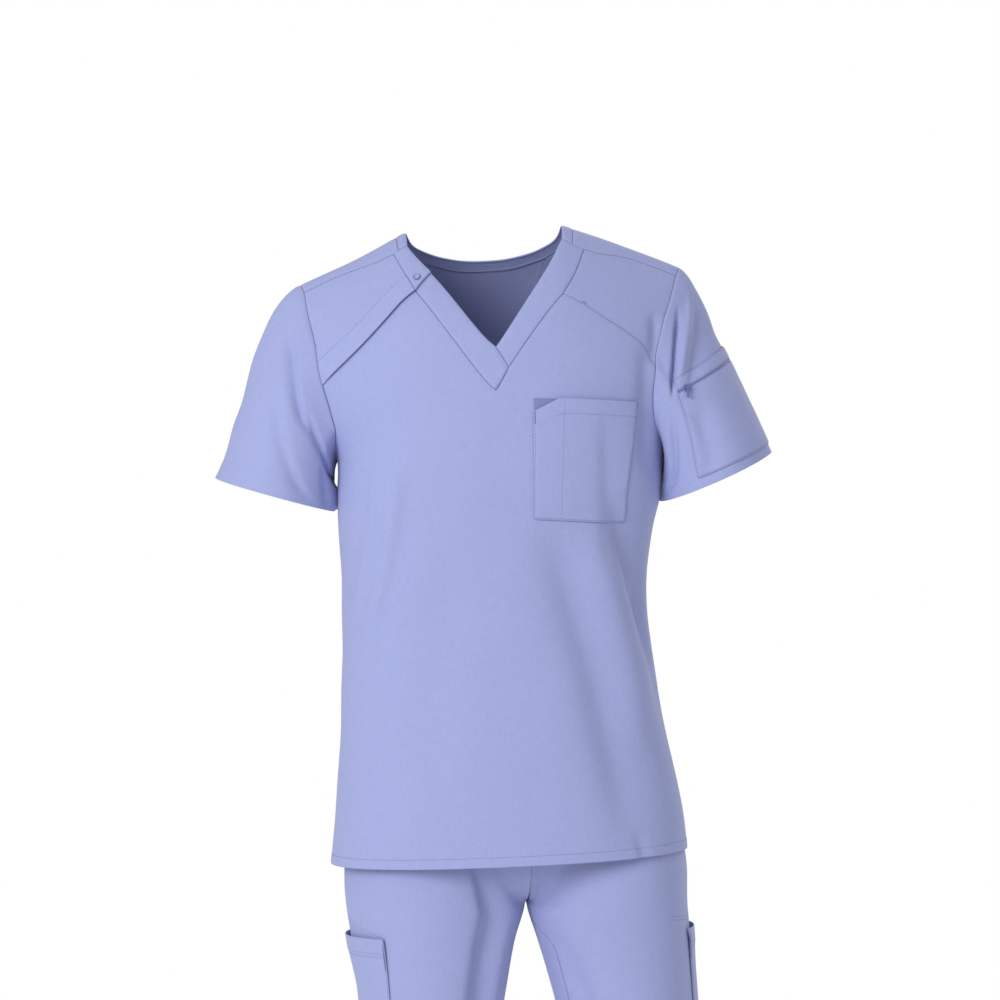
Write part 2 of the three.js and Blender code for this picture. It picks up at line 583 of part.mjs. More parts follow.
// The armhole's edge from the shoulder seam, over the ridge and down the back to the underarm
const armholeBackEdge = (side) => {
  const { front, back } = ARMHOLES[side];
  return joined(between(front, front[SEAM_ROW].run, 0, 1), between(back, 0, back.at(-1).run, STEPS.armBack));
};
const armholeTopEdge = (side) => {
  const { front } = ARMHOLES[side];
  return between(front, front[YOKE_ROW].run, front[SEAM_ROW].run, STEPS.armTop);
};
const lowSteps = (side) => STEPS.armLow + (side === "left" ? 1 : 0);
const armholeLowEdge = (side) => {
  const { front } = ARMHOLES[side];
  return between(front, front.at(-1).run, front[YOKE_ROW].run, lowSteps(side));
};

const hemZ = (x) => -HEM_MIDDLE_DROP + HEM_TILT * x;
const sideSeam = (side, face) => {
  const [low, high] = [hemZ(side === "right" ? -176 : 238), UNDERARM[side]];
  return Array.from(
    { length: STEPS.side + 1 },
    (_, i) => sidePlace(side, mix(low, high, i / STEPS.side), face),
  );
};
function hemEdge(face, steps) {
  return Array.from({ length: steps + 1 }, (_, i) => {
    const s = mix(-1, 1, i / steps);
    const x = smoothBodyPoint({ s, w: placeOfDrop(HEM_MIDDLE_DROP) }).x;
    return { s, w: face * placeOfDrop(-hemZ(x)) };
  });
}

const edges = {
  flapSeam: divide(placesAt(FLAP_SEAM), STEPS.flapSeam), // neckband to armhole
  yokeSeam: divide(placesAt(YOKE_SEAM), STEPS.yokeSeam),
  bandLowRight: divide(placesAt([FLAP_NECK, V_TIP]), STEPS.bandLow),
  bandTip: divide(placesAt([V_TIP, BAND_CROSSING]), STEPS.bandAcross),
  bandOuterLeft: divide(placesAt(BAND_OUTER_LEFT), STEPS.bandLow),
  bandTopRight: divide(placesAt([FLAP_NECK, [-90, -57], [-103.4, -33.5]]), STEPS.bandTop),
  bandTopLeft: divide(placesAt(BAND_OUTER_LEFT_TOP), STEPS.bandTop),
  shoulderRight: divide(placesAt(SHOULDER_SEAM.right), STEPS.shoulder),
  shoulderLeft: divide(placesAt(SHOULDER_SEAM.left), STEPS.shoulder),
  bandEndRight: joined(...BAND_END.right.slice(1).map((p, i) => divide(placesAt([BAND_END.right[i], p]), 1))),
  bandEndLeft: joined(...BAND_END.left.slice(1).map((p, i) => divide(placesAt([BAND_END.left[i], p]), 1))),
};
// A seam's end on the armhole takes the armhole's own place, so that the two share a corner.
const pinEnd = (edge, place) => (edge[edge.length - 1] = place);
pinEnd(edges.flapSeam, armholeTopEdge("right")[0]);
pinEnd(edges.yokeSeam, armholeTopEdge("left")[0]);
pinEnd(edges.shoulderRight, armholeBackEdge("right")[0]);
pinEnd(edges.shoulderLeft, armholeBackEdge("left")[0]);

// Front: below the neckband and the yoke seam, running on beneath the flap by one step of its sides
const UNDERLAP_SIDE = armholeTopEdge("right")[1];
const UNDERLAP_NECK = edges.bandTopRight[1];
function frontGrid() {
  const underlap = divide([UNDERLAP_SIDE, UNDERLAP_NECK], STEPS.flapSeam);
  const top = joined(underlap, [UNDERLAP_NECK, edges.bandLowRight[0]], edges.bandLowRight, edges.bandTip,
    edges.bandOuterLeft, edges.yokeSeam);
  const underFlap = [armholeTopEdge("right")[0], UNDERLAP_SIDE];
  const left = joined(sideSeam("right", 1), armholeLowEdge("right"), underFlap);
  const right = joined(sideSeam("left", 1), armholeLowEdge("left"));
  return fill(hemEdge(1, top.length - 1), top, left, right);
}

// Back: a wide lower part up to a line across the shoulder blades, a part over each shoulder to its seam in
// front, and a part below the neck. They are one piece of cloth.
function backGrids() {
  const [armRight, armLeft] = ["right", "left"].map(armholeBackEdge);
  const seamRight = BAND_END.right[1];
  const seamLeft = BAND_END.left[1];
  const outer = BACK_NECK_OUTER.map(backPlace);
  const [ridgeRight, ridgeLeft] = ["right", "left"].map((side) => ({ ...placeAt(BACK_BAND_POINT[side]), w: 0 }));
  const neckRight = divide([placeAt(seamRight), ridgeRight, outer[0], outer[1]], NECK_SIDE);
  const neckMiddle = divide(outer.slice(1, 6), NECK_MIDDLE);
  const neckLeft = divide([outer[5], outer[6], ridgeLeft, placeAt(seamLeft)], NECK_SIDE);
  const [underRight, under, underLeft] = BLADE_LINE.map(backPlace);
  const columns = STEPS.shoulder + 1;
  const bladesRight = divide([armRight[BLADE_ROW], underRight], columns);
  const bladesMiddle = divide([underRight, under, underLeft], NECK_MIDDLE);
  const bladesLeft = divide([underLeft, armLeft[BLADE_ROW]], columns);
  const riseRight = divide([underRight, outer[1]], BLADE_ROW - NECK_SIDE);
  const riseLeft = divide([underLeft, outer[5]], BLADE_ROW - NECK_SIDE);
  const over = (arm) => reversed(arm.slice(0, BLADE_ROW + 1));
  const below = (name, arm) => joined(sideSeam(name, -1), reversed(arm.slice(BLADE_ROW)));
  const bladeLine = joined(bladesRight, bladesMiddle, bladesLeft);
  const overRight = joined(reversed(edges.shoulderRight), edges.bandEndRight.slice(0, 2));
  const overLeft = joined(reversed(edges.bandEndLeft.slice(0, 2)), edges.shoulderLeft);
  return {
    grids: [
      fill(hemEdge(-1, bladeLine.length - 1), bladeLine, below("right", armRight), below("left", armLeft)),
      fill(bladesRight, overRight, over(armRight), joined(riseRight, reversed(neckRight))),
      fill(bladesMiddle, neckMiddle, riseRight, riseLeft),
      fill(bladesLeft, overLeft, joined(riseLeft, neckLeft), over(armLeft)),
    ],
    neck: joined(neckRight, neckMiddle, neckLeft),
  };
}

// Seen from outside, the back's columns run the other way round, so its rows are turned.
const turned = (points) => points.map((row) => reversed(row));

function neckbandGrids(neck) {
  const across = (a, b) => divide([a, b], STEPS.bandAcross);
  const crossing = divide(placesAt([BAND_CROSSING_INNER, BAND_CROSSING]), STEPS.bandAcross);
  crossing[STEPS.bandAcross] = edges.bandTip.at(-1);
  const innerTop = divide(placesAt(reversed(BAND_INNER_RIGHT)), STEPS.bandTop);
  const innerLow = divide([innerTop[0], crossing[0]], STEPS.bandLow - STEPS.bandAcross);
  const underlap = [UNDERLAP_NECK, edges.bandLowRight[0]];
  const innerLeft = divide(placesAt(BAND_INNER_LEFT), STEPS.bandLow + STEPS.bandTop);
  const backInner = divide(
    [
      placeAt(BAND_END.right[2]),
      { ...placeAt(NECK_POINT.right), w: 0 },
      ...BACK_NECK_INNER.map(backPlace),
      { ...placeAt(NECK_POINT.left), w: 0 },
      placeAt(BAND_END.left[2]),
    ],
    2 * NECK_SIDE + NECK_MIDDLE,
  );
  return {
    low: fill(joined(underlap, edges.bandLowRight), joined([innerTop[1], innerTop[0]], innerLow, crossing),
      across(UNDERLAP_NECK, innerTop[1]), edges.bandTip),
    top: fill(reversed(edges.bandTopRight), reversed(innerTop), edges.bandEndRight,
      across(edges.bandTopRight[0], innerTop[0])),
    left: fill(joined(edges.bandOuterLeft, edges.bandTopLeft), innerLeft,
      reversed(crossing), edges.bandEndLeft),
    back: fill(neck, backInner, [neck[0], backInner[0]], [neck.at(-1), backInner.at(-1)]),
  };
}

// Shoulder panels: the flap on the wearer's right, lifted over the front, and the yoke on the left
const flapEdge = new THREE.Vector2(FLAP_SEAM.at(-1)[0] - FLAP_NECK[0], FLAP_SEAM.at(-1)[1] - FLAP_NECK[1]);
const flapUp = new THREE.Vector2(flapEdge.y, -flapEdge.x).normalize();
function liftedPoint(place) {
  const p = bodyPoint(place);
  const fromEdge = (p.x - FLAP_NECK[0]) * flapUp.x + (p.z - FLAP_NECK[1]) * flapUp.y;
  const share = 1 - ease(FLAP_FLAT, FLAP_FLAT + FLAP_FACING, fromEdge);
  return p.addScaledVector(bodyNormal(place), FLAP_LIFT * share);
}
const flapGrid = () =>
  fill(reversed(edges.flapSeam), reversed(edges.shoulderRight), armholeTopEdge("right"), edges.bandTopRight);
const yokeGrid = () => fill(edges.yokeSeam, edges.shoulderLeft, edges.bandTopLeft, armholeTopEdge("left"));

// Sleeves: turn 0 is the top, 90 the front, 180 the underarm and -90 the back
function armholeAt(side, turn) {
  const line = ARMHOLES[side][turn < 0 ? "back" : "front"];
  return onLine(line, (Math.abs(turn) / 180) * line.at(-1).run);
}
function smoothSleevePoint(side, turn, down) {
  const { outward, centre, lean, halfWidth, halfDepth, dip, capTop, cuffTop } = SLEEVES[side];
  const angle = radians(turn);
  const [c, s] = [Math.cos(angle), Math.sin(angle)];
  const under = (1 - c) / 2;
  const start = bodyPoint(armholeAt(side, turn));
  const [leanX, leanZ] = [Math.cos(radians(lean)), Math.sin(radians(lean))];
  const end = new THREE.Vector3(
    centre[0] + outward * halfWidth * c * leanX,
    centre[1] - halfDepth * s,
    centre[2] + halfWidth * c * leanZ - dip * s,
  );
  const towards = (top, low) =>
    new THREE.Vector3(outward * mix(top[0], low[0], under), 0, mix(top[1], low[1], under));
  const away = towards(capTop, CAP_UNDER);
  away.y = -0.16 * s * away.length();
  const into = towards(cuffTop, [leanZ * CUFF_UNDER, -leanX * CUFF_UNDER]);
  const [t2, t3] = [down ** 2, down ** 3];
  return new THREE.Vector3()
    .addScaledVector(start, 2 * t3 - 3 * t2 + 1)
    .addScaledVector(end, 3 * t2 - 2 * t3)
    .addScaledVector(away, t3 - 2 * t2 + down)
    .addScaledVector(into, t3 - t2);
}
function sleeveNormal(side, turn, down) {
  const [tinyTurn, tinyDown] = [0.5, 0.005];
  const middle = clamp(down, tinyDown, 1 - tinyDown);
  const at = (a, b) => smoothSleevePoint(side, a, b);
  const round = at(turn + tinyTurn, middle).sub(at(turn - tinyTurn, middle));
  const along = at(turn, middle + tinyDown).sub(at(turn, middle - tinyDown));
  return round.cross(along).multiplyScalar(SLEEVES[side].outward).normalize();
}
const SLEEVE_TURN_MM = 1.3; // length of one degree round the sleeve, for its folds
const SLEEVE_LENGTH = 210;
function sleevePoint(side, turn, down) {
  const p = smoothSleevePoint(side, turn, down);
  const map = (t, d) => [t * SLEEVE_TURN_MM, d * SLEEVE_LENGTH];
  const height = SLEEVE_FOLDS.filter((f) => f.side === side).reduce(
    (sum, f) => sum + foldAt(f, map(f.turn0, f.down0), map(f.turn1, f.down1), ...map(turn, down)),
    0,
  );
  return height ? p.addScaledVector(sleeveNormal(side, turn, down), height) : p;
}
// The turns at which the body's panels have their points, all the way round the armhole
function armholeTurns(side) {
  const { front, back } = ARMHOLES[side];
  const runs = (line, from, to, steps, sign) =>
    Array.from({ length: steps + 1 }, (_, i) => (sign * 180 * mix(from, to, i / steps)) / line.at(-1).run);
  return joined(
    runs(front, 0, front[SEAM_ROW].run, 1, 1),
    runs(front, front[SEAM_ROW].run, front[YOKE_ROW].run, STEPS.armTop, 1),
    runs(front, front[YOKE_ROW].run, front.at(-1).run, lowSteps(side), 1),
    reversed(runs(back, 0, back.at(-1).run, STEPS.armBack, -1)),
  );
}
function sleevePoints(side) {
  const turns = armholeTurns(side);
  const rows = [];
  for (let j = STEPS.sleeve; j >= 0; j--)
    rows.push(turns.map((turn) => sleevePoint(side, turn, j / STEPS.sleeve)));
  return side === "left" ? turned(rows) : rows;
}

function chestPocket(front) {
  const { topInner, topOuter, lowInner, lowOuter } = CHEST_POCKET;
  const slotSide = [topInner[0], topInner[1] - PEN_SLOT_DROP];
  const slotTop = [topInner[0] + PEN_SLOT_WIDTH, topInner[1] - 1];
  const covered = [[front, seenFromFront]];
  patch("chest_pocket", covered, [slotSide, slotTop, topOuter, lowOuter, lowInner], POCKET_WALL);
  // The pocket's lining fills the cut corner
  const low = [slotSide[0] + 1, slotSide[1] + 1.5];
  const high = [slotTop[0] - 3, slotTop[1]];
  patch("chest_pocket_lining", covered, [low, high, [low[0], high[1]]], 0.9, CLOTH_SHADE);
}

// Where a value falls in a list that rises or falls, as a place between two of its entries
function placeIn(list, value) {
  const way = Math.sign(list.at(-1) - list[0]);
  let i = 0;
  while (i < list.length - 2 && (list[i + 1] - value) * way < 0) i++;
  return i + (value - list[i]) / (list[i + 1] - list[i]);
}

// The left sleeve's columns run from its top round the back, so a turn's column is counted from the end.
const LEFT_TURNS = armholeTurns("left").map(
  (turn, i) => (turn < 0 || i > STEPS.armBack * 1.5 ? turn + 360 : turn),
);
const SLEEVE_COLUMNS = LEFT_TURNS.length - 1;
const sleeveColumn = (turn) => SLEEVE_COLUMNS - placeIn(LEFT_TURNS, turn < 0 ? turn + 360 : turn);

// The pocket is drawn in columns round the sleeve and in millimetres from its cuff.
const SLEEVE_GRID = sleevePoints("left");
const cuffDistance = (u, v) =>
  SLEEVE_GRID.slice(1, v + 1).reduce((sum, row, j) => sum + row[u].distanceTo(SLEEVE_GRID[j][u]), 0);
const aroundCuff = ({ u, v }) => [u, cuffDistance(u, v)];
const frontOnly = (cloth) => ({ ...cloth, faces: cloth.faces.filter((face) => faceNormal(face).y < 0) });

function sleeveStrip(sleeve, name, top, low, wall, colour) {
  const seen = frontOnly(sleeve);
  const { frontTop, frontLow, back } = SLEEVE_POCKET;
  const [columnTop, columnLow] = [frontTop, frontLow].map((point) => spotOn(seen, seenFromFront, point).u);
  const backColumn = sleeveColumn(back) + SLEEVE_COLUMNS;
  const frontColumn = (distance) =>
    mix(columnLow, columnTop, (distance - POCKET_LINES.low[0]) / (POCKET_LINES.top[0] - POCKET_LINES.low[0]));
  const line = ([front, behind]) => [[frontColumn(front), front], [backColumn, behind]];
  const covered = [
    [sleeve, aroundCuff],
    [sleeve, (corner) => [corner.u + SLEEVE_COLUMNS, aroundCuff(corner)[1]]],
  ];
  const [topLine, lowLine] = [line(top), line(low)];
  patch(name, covered, [...topLine, ...reversed(lowLine)], wall, colour);
  return topLine;
}
const lower = (line, amount) => line.map((distance) => distance - amount);
function sleevePocket(sleeve) {
  const { top, zip, low } = POCKET_LINES;
  sleeveStrip(sleeve, "sleeve_pocket_band", top, zip, POCKET_WALL, CLOTH);
  sleeveStrip(sleeve, "sleeve_pocket", lower(zip, ZIP_WIDTH), low, POCKET_WALL, CLOTH);
  const [start, stop] = [lower(zip, SEAM_GAP), lower(zip, ZIP_WIDTH - SEAM_GAP)];
  const tape = sleeveStrip(sleeve, "sleeve_zip_tape", start, stop, 1, ZIP_COLOUR);
  return tape[0];
}

// Trousers
const LEGS = { right: RIGHT_LEG, left: LEFT_LEG };
// A point of the hips' section: turn 180 is the wearer's right, 270 the front, 360 the left
function hipPoint(turn, z) {
  const [rightSide, leftSide] = ["rightSide", "leftSide"].map((c) => along(HIPS, "z", c, z));
  const [c, s] = [Math.cos(radians(turn)), Math.sin(radians(turn))];
  const depth = along(HIPS, "z", s < 0 ? "front" : "back", z);
  return new THREE.Vector3(
    (rightSide + leftSide) / 2 + ((leftSide - rightSide) / 2) * signedPower(c, 2 / HIP_POWER),
    depth * signedPower(s, 2 / HIP_POWER),
    z,
  );
}
// A point of one leg: turn 0 is its outer side, 90 the front, 180 its inner side and -90 the back
function smoothLegPoint(leg, turn, z) {
  const rows = LEGS[leg];
  const outer = along(rows, "z", "outer", z);
  const free = along(rows, "z", "inner", z);
  const inner = leg === "right" ? Math.min(free, CROTCH_X) : Math.max(free, CROTCH_X);
  const [c, s] = [Math.cos(radians(turn)), Math.sin(radians(turn))];
  const depth = along(rows, "z", s > 0 ? "front" : "back", z);
  return new THREE.Vector3(
    (outer + inner) / 2 + ((outer - inner) / 2) * signedPower(c, 2 / LEG_POWER),
    -depth * signedPower(s, 2 / LEG_POWER),
    z,
  );
}
const LEG_TURN_MM = 1.45;
function legFold(leg, turnRound, z) {
  const turn = ((turnRound + 540) % 360) - 180;
  return LEG_FOLDS.filter((f) => f.leg === leg).reduce(
    (sum, f) => {
      const [start, stop] = [[f.turn0 * LEG_TURN_MM, f.z0], [f.turn1 * LEG_TURN_MM, f.z1]];
      return sum + foldAt(f, start, stop, turn * LEG_TURN_MM, z);
    },
    0,
  );
}
function legPoint(leg, turn, z) {
  const p = smoothLegPoint(leg, turn, z);
  const height = legFold(leg, turn, z);
  return height ? p.addScaledVector(legNormal(leg, turn, z), height) : p;
}
function legNormal(leg, turn, z) {
  const ahead = smoothLegPoint(leg, turn + 1, z).sub(smoothLegPoint(leg, turn - 1, z));
  const outward = leg === "right" ? 1 : -1;
  return new THREE.Vector3(0, 0, -1).cross(ahead).multiplyScalar(outward).normalize();
}

// Heights of the rows, closer together where the centre seams turn under the body
function trouserRows() {
  const hips = [WAIST_TOP - WAISTBAND_HEIGHT, -560, -600, -645];
  const rise = [0, 22, 43, 60, 76, 90].map((turn) => mix(RISE_TURNS_AT, CROTCH, Math.sin(radians(turn))));
  const legs = [-800, -825, -860, -900, -945, -995, -1045, -1095, -1145, -1200, -1270, -1350, -1420, -1485];
  return [...hips, ...rise, ...legs, TROUSER_HEM];
}
// How far a column has turned from the hips' section into the leg's: at its side smoothly, and at the centre
// seams round a quarter circle
function legShare(fromSide, z) {
  const turn = clamp((RISE_TURNS_AT - z) / (RISE_TURNS_AT - CROTCH), 0, 1);
  return mix(ease(-SIDE_TURNS_AT, -CROTCH, -z), 1 - Math.sqrt(1 - turn ** 2), fromSide ** 4);
}
const TROUSER_ROWS = reversed(trouserRows());
function trouserGrid(leg, face) {
  const steps = STEPS.panel + 1;
  const hipSide = leg === "right" ? 180 + SIDE_TURN : 360 + SIDE_TURN;
  const hipCentre = face > 0 ? 270 + CENTRE_TURN : leg === "right" ? 90 + CENTRE_TURN : 450 + CENTRE_TURN;
  const legSide = leg === "right" ? LEG_TURN : -LEG_TURN;
  const grid = TROUSER_ROWS.map((z) => {
    const inseam = 180 - INSEAM_TURN[leg] * ease(0, INSEAM_SETTLES, CROTCH - z);
    const legInner = face > 0 ? inseam : inseam - 360;
    return Array.from({ length: steps + 1 }, (_, i) => {
      const share = legShare(i / steps, z);
      const hip = hipPoint(mix(hipSide, hipCentre, i / steps), z);
      return share ? hip.lerp(legPoint(leg, mix(legSide, legInner, i / steps), z), share) : hip;
    });
  });
  return (leg === "right") === face > 0 ? grid : turned(grid);
}
function waistband() {
  const steps = 32;
  const rows = [WAIST_TOP - WAISTBAND_HEIGHT + WAISTBAND_GAP, WAIST_TOP].map((z) =>
    Array.from({ length: steps + 1 }, (_, i) => hipPoint((i / steps) * 360, z)),
  );
  return band("waistband", rows, WAISTBAND_WALL);
}
// A pocket over a leg's side seam. Columns of both panels are counted from that seam, the front's upwards.
function cargoPocket(leg, front, back) {
  const { frontReach, backReach, topFront, topBack } = CARGO[leg];
  const last = STEPS.panel + 1;
  const measure = (face) => ({ u, v }) => [face * ((leg === "right") === face > 0 ? u : last - u), v];
  const corner = (column, z) => [column, placeIn(TROUSER_ROWS, z)];
  const outline = [
    corner(frontReach, topFront),
    corner(-backReach, topBack),
    corner(-backReach, topBack - CARGO_HEIGHT),
    corner(frontReach, topFront - CARGO_HEIGHT),
  ];
  patch(`cargo_pocket_${leg}`, [[front, measure(1)], [back, measure(-1)]], outline, POCKET_WALL);
}

// A group whose Z points out of the cloth at a point and whose X points down the cloth
function frameOn({ p, n }, down, name) {
  const group = new THREE.Group();
  const x = down.clone().addScaledVector(n, -down.dot(n)).normalize();
  const y = n.clone().cross(x);
  group.matrixAutoUpdate = false;
  group.matrix.makeBasis(x, y, n).setPosition(p);
  group.userData.name = name;
  scrubs.add(group);
  return group;
}

function snap() {
  const place = placeAt(SNAP.place);
  const group = frameOn({ p: liftedPoint(place), n: bodyNormal(place) }, new THREE.Vector3(1, 0, 0), "snap");
  const ring = new THREE.TorusGeometry(SNAP.radius - SNAP.tube, SNAP.tube, 8, 24);
  ring.translate(0, 0, LAY_GAP / 2 + SNAP.tube);
  addMesh("snap_ring", ring, finish(SNAP_COLOUR, 0.35, 0.2), group);
}

const solidOf = (geometry) => {
  const flat = geometry.index ? geometry.toNonIndexed() : geometry;
  const positions = flat.getAttribute("position").array;
  const mesh = new wasm.Mesh({
    numProp: 3,
    vertProperties: positions,
    triVerts: Uint32Array.from({ length: positions.length / 3 }, (_, i) => i),
  });
  mesh.merge();
  return new wasm.Manifold(mesh);
};
const geometryOf = (solid) => {
  const mesh = solid.getMesh();
  const geometry = new THREE.BufferGeometry();
  geometry.setAttribute("position", new THREE.Float32BufferAttribute(mesh.vertProperties, 3));
  geometry.setIndex(Array.from(mesh.triVerts));
  geometry.computeVertexNormals();
  return geometry;
};

// The slider has a pin across two lugs, and the pull tab's eye turns on it.
function slider(group) {
  const { length, width, height, lug, pinRadius, pinHeight } = SLIDER;
  const plate = new THREE.BoxGeometry(length, width, height);
  plate.translate(0, 0, height / 2);
  let solid = solidOf(plate);
  for (const side of [-1, 1]) {
    const post = new THREE.BoxGeometry(pinRadius * 4, lug, pinHeight + pinRadius - height / 2);
    post.translate(0, (side * (width - lug)) / 2, (pinHeight + pinRadius + height / 2) / 2);
    solid = solid.add(solidOf(post));
  }
  const pin = new THREE.CylinderGeometry(pinRadius, pinRadius, width - lug, 12);
  pin.translate(0, 0, pinHeight);
  solid = solid.add(solidOf(pin));
  addMesh("zip_slider", geometryOf(solid), finish(ZIP_COLOUR, 0.4, 0.5), group);
}
function pullTab(group) {
  const { length, width, thickness, ring, bore } = TAB;
  const outline = new THREE.Shape();
  const meet = Math.asin(thickness / 2 / ring);
  outline.absarc(0, 0, ring, meet, Math.PI * 2 - meet, false);
  outline.lineTo(length, -thickness / 2);
  outline.lineTo(length, thickness / 2);
  outline.closePath();
  outline.holes.push(new THREE.Path().absarc(0, 0, bore, 0, Math.PI * 2, true));
  const tab = new THREE.ExtrudeGeometry(outline, { depth: width, bevelEnabled: false, curveSegments: 12 });
  tab.rotateX(Math.PI / 2);
  tab.translate(0, width / 2, SLIDER.pinHeight);
  addMesh("zip_pull", tab, finish(ZIP_COLOUR, 0.4, 0.5), group);
}
function zipFittings(sleeve, [column, distance]) {
  const spot = spotOn(sleeve, aroundCuff, [column + ZIP_END, distance - ZIP_WIDTH / 2]);
  spot.p.addScaledVector(spot.n, LAY_GAP + POCKET_WALL + SLIDER.above);
  const group = frameOn(spot, new THREE.Vector3(0, 0, -1), "zip");
  slider(group);
  pullTab(group);
}

const { grids: backPlaces, neck } = backGrids();
const bands = neckbandGrids(neck);
const lifted = (grid) => pointsOf(grid, liftedPoint);
const front = panel("front", pointsOf(frontGrid()));
const sleeveLeft = panel("sleeve_left", SLEEVE_GRID);
const top = [
  front,
  sleeveLeft,
  panel("back", ...backPlaces.map((grid) => turned(pointsOf(grid)))),
  panel("shoulder_yoke_left", pointsOf(yokeGrid())),
  panel("shoulder_flap_right", lifted(flapGrid())),
  panel("sleeve_right", sleevePoints("right")),
  band("neckband_right", pointsOf(bands.low)),
  band("neckband_right_top", lifted(bands.top)),
  band("neckband_left", pointsOf(bands.left)),
  band("neckband_back", turned(pointsOf(bands.back))),
];
const frontRight = panel("trouser_front_right", trouserGrid("right", 1));
const backRight = panel("trouser_back_right", trouserGrid("right", -1));
const frontLeft = panel("trouser_front_left", trouserGrid("left", 1));
const backLeft = panel("trouser_back_left", trouserGrid("left", -1));
const trousers = [waistband(), frontRight, backRight, frontLeft, backLeft];

shareNormals(top);
shareNormals(trousers);
[...top, ...trousers].forEach(sew);
chestPocket(front);
const zipEnd = sleevePocket(sleeveLeft);
cargoPocket("right", frontRight, backRight);
cargoPocket("left", frontLeft, backLeft);
snap();
zipFittings(sleeveLeft, zipEnd);

export default scrubs;
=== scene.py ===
import math

import bmesh
import bpy
import numpy as np
from bpy.props import FloatProperty, FloatVectorProperty, PointerProperty
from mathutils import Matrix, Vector, noise


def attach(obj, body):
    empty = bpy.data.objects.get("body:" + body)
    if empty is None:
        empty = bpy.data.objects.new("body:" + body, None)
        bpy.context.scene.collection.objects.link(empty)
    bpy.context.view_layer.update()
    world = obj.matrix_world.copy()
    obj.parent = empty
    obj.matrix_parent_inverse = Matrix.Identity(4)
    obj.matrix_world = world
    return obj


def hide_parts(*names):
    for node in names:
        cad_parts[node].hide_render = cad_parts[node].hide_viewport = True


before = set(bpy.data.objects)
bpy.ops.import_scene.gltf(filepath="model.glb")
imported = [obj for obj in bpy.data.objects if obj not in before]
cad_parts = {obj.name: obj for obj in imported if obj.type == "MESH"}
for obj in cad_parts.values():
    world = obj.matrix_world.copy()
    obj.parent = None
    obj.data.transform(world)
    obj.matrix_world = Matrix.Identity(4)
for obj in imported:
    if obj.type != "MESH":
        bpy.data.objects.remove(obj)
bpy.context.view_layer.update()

bl_info = {
    "name": "Medical scrubs",
    "version": (1, 0, 0),
    "blender": (4, 5, 0),
    "location": "3D View > Sidebar > Scrubs",
    "description": "A V-neck scrub top and cargo trousers, hollow and shaped as they are worn",
    "category": "Add Mesh",
}

# The garments are drawn in millimetres, as their pattern is, and become meshes in metres
MM = 0.001
SIDES = ("right", "left")


def table(columns, *rows):
    """Rows of numbers as one array for each named column."""
    return {name: np.array([row[i] for row in rows], float) for i, name in enumerate(columns.split())}


# The shoulders round over from front to back through this drop below their ridge
SHOULDER_ROUND = 150
SECTION_POWER = 2.35
RIDGE_LEVELS_FROM = 100
RIDGE_LEVELS_AT = 400
HEM_MIDDLE_DROP = 733
HEM_TILT = 0.044
HEM_CORNER_X = {"right": -176, "left": 238}

RIDGE = table(
    "x z",
    (-290, -108), (-250, -87), (-214, -67), (-186, -54), (-157, -41), (-130, -27), (-105, -13), (-88, -5),
    (-60, 0), (0, 2), (60, 5), (88, 4), (105, -1), (144, -14), (182, -28), (219, -42), (262, -60), (300, -78),
)
BODY = table(
    "drop middle half front back",
    (0, 8, 254, 70, 80), (60, 9, 243, 94, 104), (120, 10, 228, 112, 118), (180, 13, 207, 122, 124),
    (240, 19.5, 191.5, 126, 123), (300, 19, 189, 125, 117), (350, 15, 183, 121, 110),
    (400, 13.5, 179, 118, 106), (450, 13.5, 178.5, 117, 106), (500, 17, 181.5, 119, 112),
    (550, 20.5, 186, 122, 121), (600, 25, 192, 125, 129), (650, 29, 199, 128, 134), (700, 31, 205, 130, 137),
    (760, 31, 209.5, 131, 138),
)

# Seams and edges of the front, as x and z seen from the front
NECK_POINT = {"right": (-90, -6), "left": (91.5, 3.5)}
BACK_BAND_POINT = {"right": (-101.5, -12), "left": (104, -1)}
FLAP_NECK = (-76.3, -79.6)
FLAP_TIP = (-58.9, -58)
FLAP_SEAM = (FLAP_NECK, (-110, -113.5), (-136, -141.5), (-160, -164.5), (-183.5, -187))
YOKE_SEAM = ((92.7, -82), (113.6, -92.5), (137.7, -108.5), (170, -129.5), (189.4, -145.5), (199.4, -166.7))
BAND_CROSSING = (30, -168)
BAND_CROSSING_INNER = (15.5, -144.7)
V_TIP = (15.5, -194.3)
SHOULDER_SEAM = {
    "right": ((-103.4, -33.5), (-121.3, -41.5), (-146, -50), (-170.4, -58.5), (-208.5, -76.5)),
    "left": ((117.8, -28), (136, -33), (160, -35.5), (188, -43), (225, -57)),
}
BAND_END = {
    "right": ((-103.4, -33.5), (-97.5, -29), (-87.5, -23.7)),
    "left": ((117.8, -28), (104, -22), (91.8, -15.5)),
}
BAND_INNER_RIGHT = ((-87.5, -23.7), (-81.5, -32), (-72, -44.3), FLAP_TIP)
BAND_OUTER_LEFT = (BAND_CROSSING, (62, -121), (92.7, -82))
BAND_OUTER_LEFT_TOP = ((92.7, -82), (107, -56), (117.8, -28))
BAND_INNER_LEFT = (BAND_CROSSING_INNER, (47.5, -94.5), (70.3, -57.5), (83, -34), (91.8, -15.5))

# The neck and the shoulder blades behind, as x and drop below the ridge
BACK_NECK_INNER = ((-84, 12), (-64, 25), (-34, 33), (0, 35), (36, 33), (66, 25), (86, 12))
BACK_NECK_OUTER = ((-95, 17), (-71, 35), (-37, 45), (0, 47), (39, 45), (74, 35), (98, 17))
BLADE_LINE = ((-62, 66), (0, 76), (64, 66))
BLADE_ROW = 6
NECK_SIDE = 4
NECK_MIDDLE = 6

